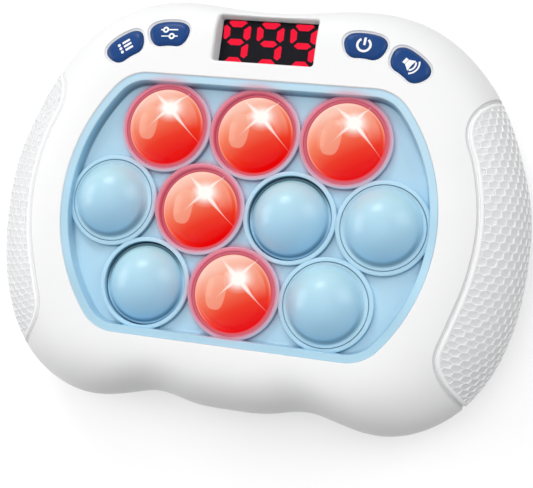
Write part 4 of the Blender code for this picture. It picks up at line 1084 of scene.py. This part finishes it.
def make_front():
    angles = ring_angles(256)
    hole, edge, rim, joint = tray_radius(angles), outer_radius(angles), 0.5, PARTING + FIT / 2
    height = face_z((hole + rim) * np.cos(angles), (hole + rim) * np.sin(angles))
    rings = [polar(angles, hole, CREST - WALL)]
    rings += [polar(angles, hole + rim * out, height - rim + rim * up) for out, up in quarter(5, 0)[:-1]]
    skin = section_rings(angles, hole + rim, True, 0.0, 34)
    for ring in skin:
        ring[:, 2] = np.maximum(ring[:, 2], joint + 0.15)
    rings += skin[:-1] + [polar(angles, edge, joint + 0.25), polar(angles, edge - 0.2, joint),
                          polar(angles, edge - WALL, joint)]
    rings += section_rings(angles, hole + 3.0, True, WALL, 9)[-2::-1]
    shell = two_tone(loft("case_front", rings, closed=True))
    skirt = stack("skirt", [(window_outline(1.2), (34.95,)), (window_outline(1.2), -1.0)], on_face, 4.0)
    combine(JOIN, shell, skirt)
    tools = [flared("window", window_outline, 33.0, 0.9, 1.5)]
    for _, degrees, share, tilt in BUTTONS:
        place = band_place(degrees, share)
        tools.append(flared("well", lambda g, p=place, t=tilt: button_outline(p, t, 0.55 + g), 33.0, 0.4,
                            0.6, 0.43))
    combine(CUT, shell, *tools, *grip_tools())
    settle(shell, "housing", "white_plastic", CASE, "front_shell", crease=32.0, skin=0.004)


def make_tray():
    """A dish with a rolled lip and a rounded foot, and a raised collar round each bubble's hole."""
    angles = ring_angles(256)
    foot, lip, lean, ease = FLOOR + 0.9, 2.32, 0.35, 0.9
    sides = [(-0.04, UNDER), (-0.04, BAND + 0.16), (-0.12, BAND + 0.15), (-0.3, BAND + 0.05), (-0.6, BAND),
             (-1.9, BAND), (-2.15, BAND - 0.08), (-lip, BAND - 0.3)]
    sides += [(-lip - lean * k / 8, BAND - 0.3 - (BAND - 0.3 - foot) * k / 8) for k in range(1, 9)]
    sides += [(-lip - lean - ease * out, foot - ease * up) for out, up in quarter(5)]
    tray = loft("tray_dish", [polar(angles, tray_radius(angles, grow), z) for grow, z in reversed(sides)])
    collar = [(0.0, COLLAR), (COLLAR_FLAT, COLLAR)]
    collar += [(COLLAR_FLAT + COLLAR_EASE * up, COLLAR - COLLAR_EASE * out) for out, up in quarter(5)]
    collar += [(COLLAR_FLAT + COLLAR_EASE, UNDER + 0.3), (0.0, UNDER + 0.3)]
    hole = [(0.0, UNDER - 1), (HOLE, UNDER - 1), (HOLE, COLLAR - HOLE_EASE)]
    hole += [(HOLE + HOLE_EASE * out, COLLAR - HOLE_EASE + HOLE_EASE * up) for out, up in quarter(4)]
    hole += [(13.15, COLLAR + 0.1), (13.2, COLLAR + 1.5), (0.0, COLLAR + 1.5)]
    combine(JOIN, tray, *[turned("collar", place, collar, 128) for place in PLACES.values()])
    combine(CUT, tray, gather("holes", [turned("hole", place, hole, 128) for place in PLACES.values()]))
    settle(tray, "housing", "blue_plastic", BLUE, "bubble_tray", crease=28.0)


def make_bubble(name, place):
    """A dome that flows into a flat flange, on a skirt with a lip under the tray."""
    top, peak = COLLAR, COLLAR + DOME_RISE
    bend = (DOME_BASE ** 2 + (peak - top) ** 2) / (2 * (peak - top))
    steep = math.asin(DOME_EDGE / bend)
    profile = [(0.0, peak)] + [(bend * math.sin(a), peak - bend * (1 - math.cos(a)))
                               for a in (steep * k / 26 for k in range(1, 27))]
    r0, z0 = profile[-1]
    r1, r2 = r0 + (z0 - top) / math.tan(steep), 11.95
    profile += [((1 - t) ** 2 * r0 + 2 * (1 - t) * t * r1 + t * t * r2,
                 (1 - t) ** 2 * z0 + (1 - (1 - t) ** 2) * top) for t in (k / 7 for k in range(1, 8))]
    edge, ease, drop = (12.4, 0.28, SUNK) if name in LOW else (12.56, 0.16, 0.0)
    profile += [(edge - ease + ease * up, top - ease * out) for out, up in quarter(4, 0)]
    (lip, lip_top), (stem, lip_low), stem_end = (13.4, 34.6), (1.9, 33.4), 28.9
    profile += [(edge, lip_top), (lip, lip_top), (lip, lip_low), (stem, lip_low), (stem, stem_end),
                (0.0, stem_end)]
    bubble = turned(name + "_dome", place, profile, 112)
    if drop:
        bubble.data.transform(Matrix.Translation((0, 0, -drop)))
    slot, paint = ("lit_bubble", GLOW) if name in LIT else ("blue_plastic", DOME_LOW if drop else DOME)
    settle(bubble, name, slot, paint, name, origin=(*place, top - drop), crease=40.0)


# ---------------------------------------------------------------- buttons, icons and digits

# Each icon's lean, place and shapes
ICONS = {
    "menu": (35.0, (-43.98, 47.97), [shape for k in (-1, 0, 1) for shape in (
        circle((-1.75, 1.28 * k), 0.5, 20), rounded_rectangle((0.75, 1.28 * k), (2.7, 0.72), 0.2, 3))]),
    "settings": (3.0, (-30.26, 52.95), [
        bar(-2.4, 1.05, 0.9, 0.42), bar(1.1, 1.05, 3.2, 0.42),
        arc(-1.25, 1.05, 0.42, 1.0, 0, 179), arc(-1.25, 1.05, 0.42, 1.0, 180, 359),
        bar(-1.1, -1.05, 2.9, 0.34), bar(2.3, -1.05, 1.0, 0.42),
        arc(0.85, -1.05, 0.42, 1.0, 0, 179), arc(0.85, -1.05, 0.42, 1.0, 180, 359)]),
    "power": (-3.5, (30.25, 53.0), [arc(0.0, 0.0, 1.6, 2.3, 122, 418, 48), bar(0.1, 1.15, 0.72, 2.4)]),
    "sound": (-35.0, (44.69, 47.83), [
        bar(-2.15, 0.05, 0.95, 1.75), np.array([(-1.55, -0.85), (0.25, -1.9), (0.25, 2.0), (-1.55, 0.95)]),
        arc(-1.1, 0.05, 2.0, 2.5, -45, 45, 16), arc(-1.1, 0.05, 3.0, 3.5, -48, 48, 18)])}

# The segments of the left digit, and the display's height
DIGIT = (
    ((-13.91, 59.70), (-13.38, 60.34), (-8.45, 60.38), (-7.97, 59.82), (-9.70, 58.36), (-12.55, 58.36)),
    ((-7.08, 58.99), (-6.56, 58.47), (-6.52, 55.16), (-7.51, 54.27), (-8.74, 55.13), (-8.78, 57.64)),
    ((-7.31, 53.20), (-6.77, 52.86), (-6.74, 49.60), (-7.70, 48.60), (-8.83, 49.18), (-8.90, 51.90)),
    ((-14.51, 58.94), (-13.19, 57.93), (-13.06, 55.59), (-14.36, 54.26), (-15.03, 54.63), (-15.27, 58.36)),
    ((-13.71, 53.50), (-12.62, 54.55), (-9.40, 54.58), (-8.29, 53.62), (-9.49, 52.62), (-12.50, 52.58)),
    ((-13.75, 47.30), (-12.52, 48.71), (-9.61, 48.77), (-8.20, 47.45), (-9.20, 46.70), (-12.70, 46.65)))
DIGIT_PITCH, DISPLAY = 10.65, 34.7


def make_button(label, degrees, share, tilt):
    place, part = band_place(degrees, share), f"{label}_button"
    loops = [(button_outline(place, tilt, -grow), z) for grow, z in (
        (0.0, -3.9), (0.0, -0.85), (0.06, -0.6), (0.2, -0.34), (0.42, -0.1), (0.72, 0.08), (1.1, 0.2),
        (1.6, 0.27))]
    settle(stack(f"{label}_cap", loops, on_face, 0.9), part, "navy_plastic", NAVY, part, crease=40.0)
    lean, spot, shapes = ICONS[label]
    icon = gather(f"{label}_icon", [
        stack("mark", [(turn_plan(shape, lean, spot), z) for z in (0.1, 0.31)], on_face, 0.6)
        for shape in shapes])
    settle(icon, part, "white_plastic", MARK.made)


def make_digits():
    made = []
    for k in range(3):
        for shape in DIGIT:
            points = np.array(shape) + (DIGIT_PITCH * k, 0.0)
            points[:, 1] = np.maximum(points[:, 1], TRAY_Y + WINDOW_LOW - 0.35)
            points[:, 0] = np.minimum(points[:, 0], 17.6)
            made.append(stack("segment", [(points, (DISPLAY - 0.05,)), (points, (DISPLAY + 0.05,))],
                              on_face, 5.0))
    digits = gather("display_digits", made)
    digits.visible_diffuse = False
    settle(digits, "housing", "display_black", DIGITS.made)


# ---------------------------------------------------------------- the back

def inner_body(inset):
    """The case as one solid, moved in all round, for trimming what stands inside it."""
    angles = ring_angles(120)
    rings = section_rings(angles, tray_radius(angles, 1.0), True, inset, 12)
    rings += section_rings(angles, None, False, inset, 8)[1:]
    return loft("inner_body", rings)


def cover_outline(grow, corner=COVER_CORNER):
    return rounded_rectangle(BAY, [s + 2 * grow for s in COVER_SIZE], corner)


def make_back():
    angles = ring_angles(216)
    edge, joint = outer_radius(angles), PARTING - FIT / 2
    outer = section_rings(angles, None, False, 0.0, 15)
    inner = section_rings(angles, None, False, WALL, 6)
    for ring in outer + inner:
        ring[:, 2] = np.minimum(ring[:, 2], joint)
    outer[-1][:, 2], inner[-1][:, 2] = 0.0, WALL
    outer[0] = polar(angles, edge, joint - 0.25)
    rings = outer[::-1] + [polar(angles, edge - 0.2, joint), polar(angles, edge - WALL, joint)] + inner[1:]
    shell = two_tone(loft("case_back", rings))
    places, root, below = [band_place(*spot) for spot in SCREWS], WALL / 2, -1.0
    posts = gather("posts", [rod("post", place, 4.3, 0.0, joint) for place in places])
    combine(JOIN, shell,
            block("bay", BAY, [s + 2.8 for s in BAY_SIZE], root, 18.6),
            prism("cover_frame", cover_outline(1.7), root, 4.2),
            *[rod("cover_boss", place, 3.4, root, 8.4) for place in COVER_SCREWS],
            combine(COMMON, posts, inner_body(root)),
            gather("rests", [rod("rest", (x * 47.98, y * 20.08), 2.0, root, 21.7)
                             for x in (1, -1) for y in (1, -1)]),
            rod("speaker_wall", SPEAKER, 14.0, root, 7.6, 56))
    holes = [block("slot", (side * -28.25, BAY[1] + side * 15.0), (1.0, 3.6), 9.65, 19.6)
             for side in (1, -1)]
    holes += [rod("cover_pilot", place, 1.6, below, 7.3, 24) for place in COVER_SCREWS]
    holes += [turned("well", place, [
        (0.0, below), (3.9, below), (3.6, 0.0), (3.3, 0.1), (3.15, 0.25), (3.1, 0.5), (3.1, 10.0),
        (1.6, 10.0), (1.6, 19.5), (0.0, 19.5)], 40) for place in places]
    holes.append(rod("speaker_well", SPEAKER, 12.8, WALL, 8.6, 56))
    grille = [turned("grille_hole", place, [
        (0.0, below), (1.25, below), (1.2, 0.0), (0.98, 0.08), (0.9, 0.3), (0.9, 3.4), (0.0, 3.4)], 20)
        for place in [SPEAKER, *circle(SPEAKER, 3.6, 6), *circle(SPEAKER, 7.2, 12)]]
    combine(CUT, shell, prism("cover_seat", cover_outline(0.3), below, 2.1),
            block("bay_hollow", BAY, BAY_SIZE, below, 17.2), gather("back_holes", holes),
            gather("grille", grille), *grip_tools())
    settle(shell, "housing", "white_plastic", CASE, "back_shell", crease=32.0, skin=0.004)


def make_cover():
    """The battery cover: a plate with an eased edge, screw seats and a finger hollow."""
    cover = loft("cover_plate", [ring_points(cover_outline(grow, COVER_CORNER + grow), z) for z, grow in (
        (0.0, -0.6), (0.12, -0.22), (0.35, 0.0), (1.8, 0.0))])
    tools = [turned("seat", place, [
        (0.0, -1.0), (3.6, -1.0), (3.45, 0.0), (3.2, 0.1), (3.1, 0.3), (3.1, 1.0), (1.6, 1.0), (1.6, 2.8),
        (0.0, 2.8)], 40) for place in COVER_SCREWS]
    tools += [prism("groove", rounded_rectangle((BAY[0], BAY[1] - 17.0 + 1.9 * k), (16.0, 0.8), 0.38, 4),
                    -1.0, 0.35) for k in range(5)]
    combine(CUT, cover, gather("cover_cuts", tools))
    settle(cover, "battery_cover", "white_plastic", CASE[0], "battery_cover", origin=(*BAY, 0.0))


def make_screw(name, node, body, place, seat, head, length):
    """A pan head screw pointing up, with a cross recess."""
    low, radius, wide = seat - head, 1.3, 2.8
    screw = turned(name, place, [
        (0.0, low), (wide * 0.55, low + head * 0.04), (wide * 0.82, low + head * 0.2),
        (wide * 0.96, low + head * 0.5), (wide, seat), (radius, seat), (radius, seat + length - radius),
        (0.0, seat + length)], 36)
    cross = [prism("slot", turn_plan(bar(0, 0, wide * 1.1, wide * 0.26), turn, place), low - 1.0,
                   low + head * 0.6) for turn in (20.0, 110.0)]
    combine(CUT, screw, combine(JOIN, *cross))
    settle(screw, body, "steel", STEEL, node, crease=35.0)


# ---------------------------------------------------------------- the whole

make_front()
make_back()
make_grip("right_grip", 1)
make_grip("left_grip", -1)
make_tray()
for name, place in PLACES.items():
    make_bubble(name, place)
for button in BUTTONS:
    make_button(*button)
make_digits()
make_cover()
for i, spot in enumerate(SCREWS, 1):
    make_screw(f"case_screw_{i}", f"housing_screw_{i}", "housing", band_place(*spot), 9.7, 1.5, 15.5)
for i, place in enumerate(COVER_SCREWS, 1):
    make_screw(f"cover_screw_{i}", f"battery_cover_screw_{i}", "battery_cover", place, 0.7, 0.4, 6.0)
dress_nodes()


# ---------------------------------------------------------------- light, floor and camera

# Soft lamps: way, distance, size, and how bright they make white paper that faces them
for name, direction, distance, size, bright in (
        ("key", (-0.28, 0.74, 0.53), 1.2, (0.42, 0.36), 0.28),
        ("left", (-0.93, 0.10, 0.34), 1.3, (0.9, 0.6), 0.31),
        ("right", (0.74, 0.47, 0.49), 1.5, (0.9, 0.9), 0.29)):
    lamp = bpy.data.lights.new(name, "AREA")
    lamp.shape = "RECTANGLE"
    lamp.size, lamp.size_y = size
    lamp.energy = bright * (math.pi * distance) ** 2
    way = Vector(direction).normalized()
    thing = show(name, lamp)
    thing.location = Vector((0.0, 0.0, 0.03)) + way * distance
    thing.rotation_euler = way.to_track_quat("Z", "Y").to_euler()

# The sky: a faint level and two lobes of way, narrowness and strength; the rays that show it see white
world = bpy.data.worlds.new("studio")
bpy.context.scene.world = world
world.use_nodes = True
studio = Chain(world.node_tree)
looking, sky = studio.node("TexCoord").outputs["Generated"], 0.08
for direction, power, most in (((-0.05, 0.18, 0.98), 14.0, 2.60), ((0.05, -0.50, 0.86), 3.0, 0.76)):
    lean = studio.vector("DOT_PRODUCT", looking, Vector(direction).normalized())
    lobe = studio.math("POWER", studio.math("MAXIMUM", lean, 0.0), power)
    sky = studio.math("MULTIPLY_ADD", lobe, most, sky)
ground = studio.tree.nodes["Background"]
studio.feed(ground.inputs["Color"], FULL_WHITE)
studio.feed(ground.inputs["Strength"], sky)
shown = studio.node("Background", {"Color": FULL_WHITE})
pick = studio.node("MixShader", {0: studio.seen(), 1: ground.outputs[0], 2: shown.outputs[0]})
studio.feed(studio.tree.nodes["World Output"].inputs["Surface"], pick.outputs[0])

# The floor, just under the object
REACH = 3.0
floor = add_object("studio_floor", ring_points(bar(0.0, 0.0, 2 * REACH, 2 * REACH), 0.0), [(0, 1, 2, 3)])
floor.location.z = -0.0003
white = Paint("floor_white", 1.0, Specular_IOR_Level=0.0, Emission_Strength=1.0)
seen = white.seen()
paper = white.mix(seen, (0.20,) * 3, (0.75,) * 3)
white.link(white.mix(1.0, white.cloud(3.0, 0.985, 1.0), paper, "MULTIPLY"), "Base Color")
white.link(white.mix(seen, BLACK, (0.37,) * 3), "Emission Color")
floor.data.materials.append(white.made)

# The camera of the photograph, which is 533 pixels wide, with a lens of 1000 pixels
PIXELS, FOCAL, SENSOR = 533.0, 1000.0, 36.0
tilt = [Matrix.Rotation(math.radians(degrees), 3, axis)
        for degrees, axis in ((-6.32, "Z"), (-13.16, "Y"), (-5.28, "X"))]
lens = bpy.data.cameras.new("photo_camera")
lens.sensor_width = SENSOR
lens.lens = SENSOR * FOCAL / PIXELS
camera = show("photo_camera", lens)
turned_frame = (tilt[0] @ tilt[1] @ tilt[2]).transposed().to_4x4()
camera.matrix_world = Matrix.Translation((0.0758, -0.0387, 0.3267)) @ turned_frame
bpy.context.scene.camera = camera
bpy.context.scene.view_settings.view_transform = "Standard"
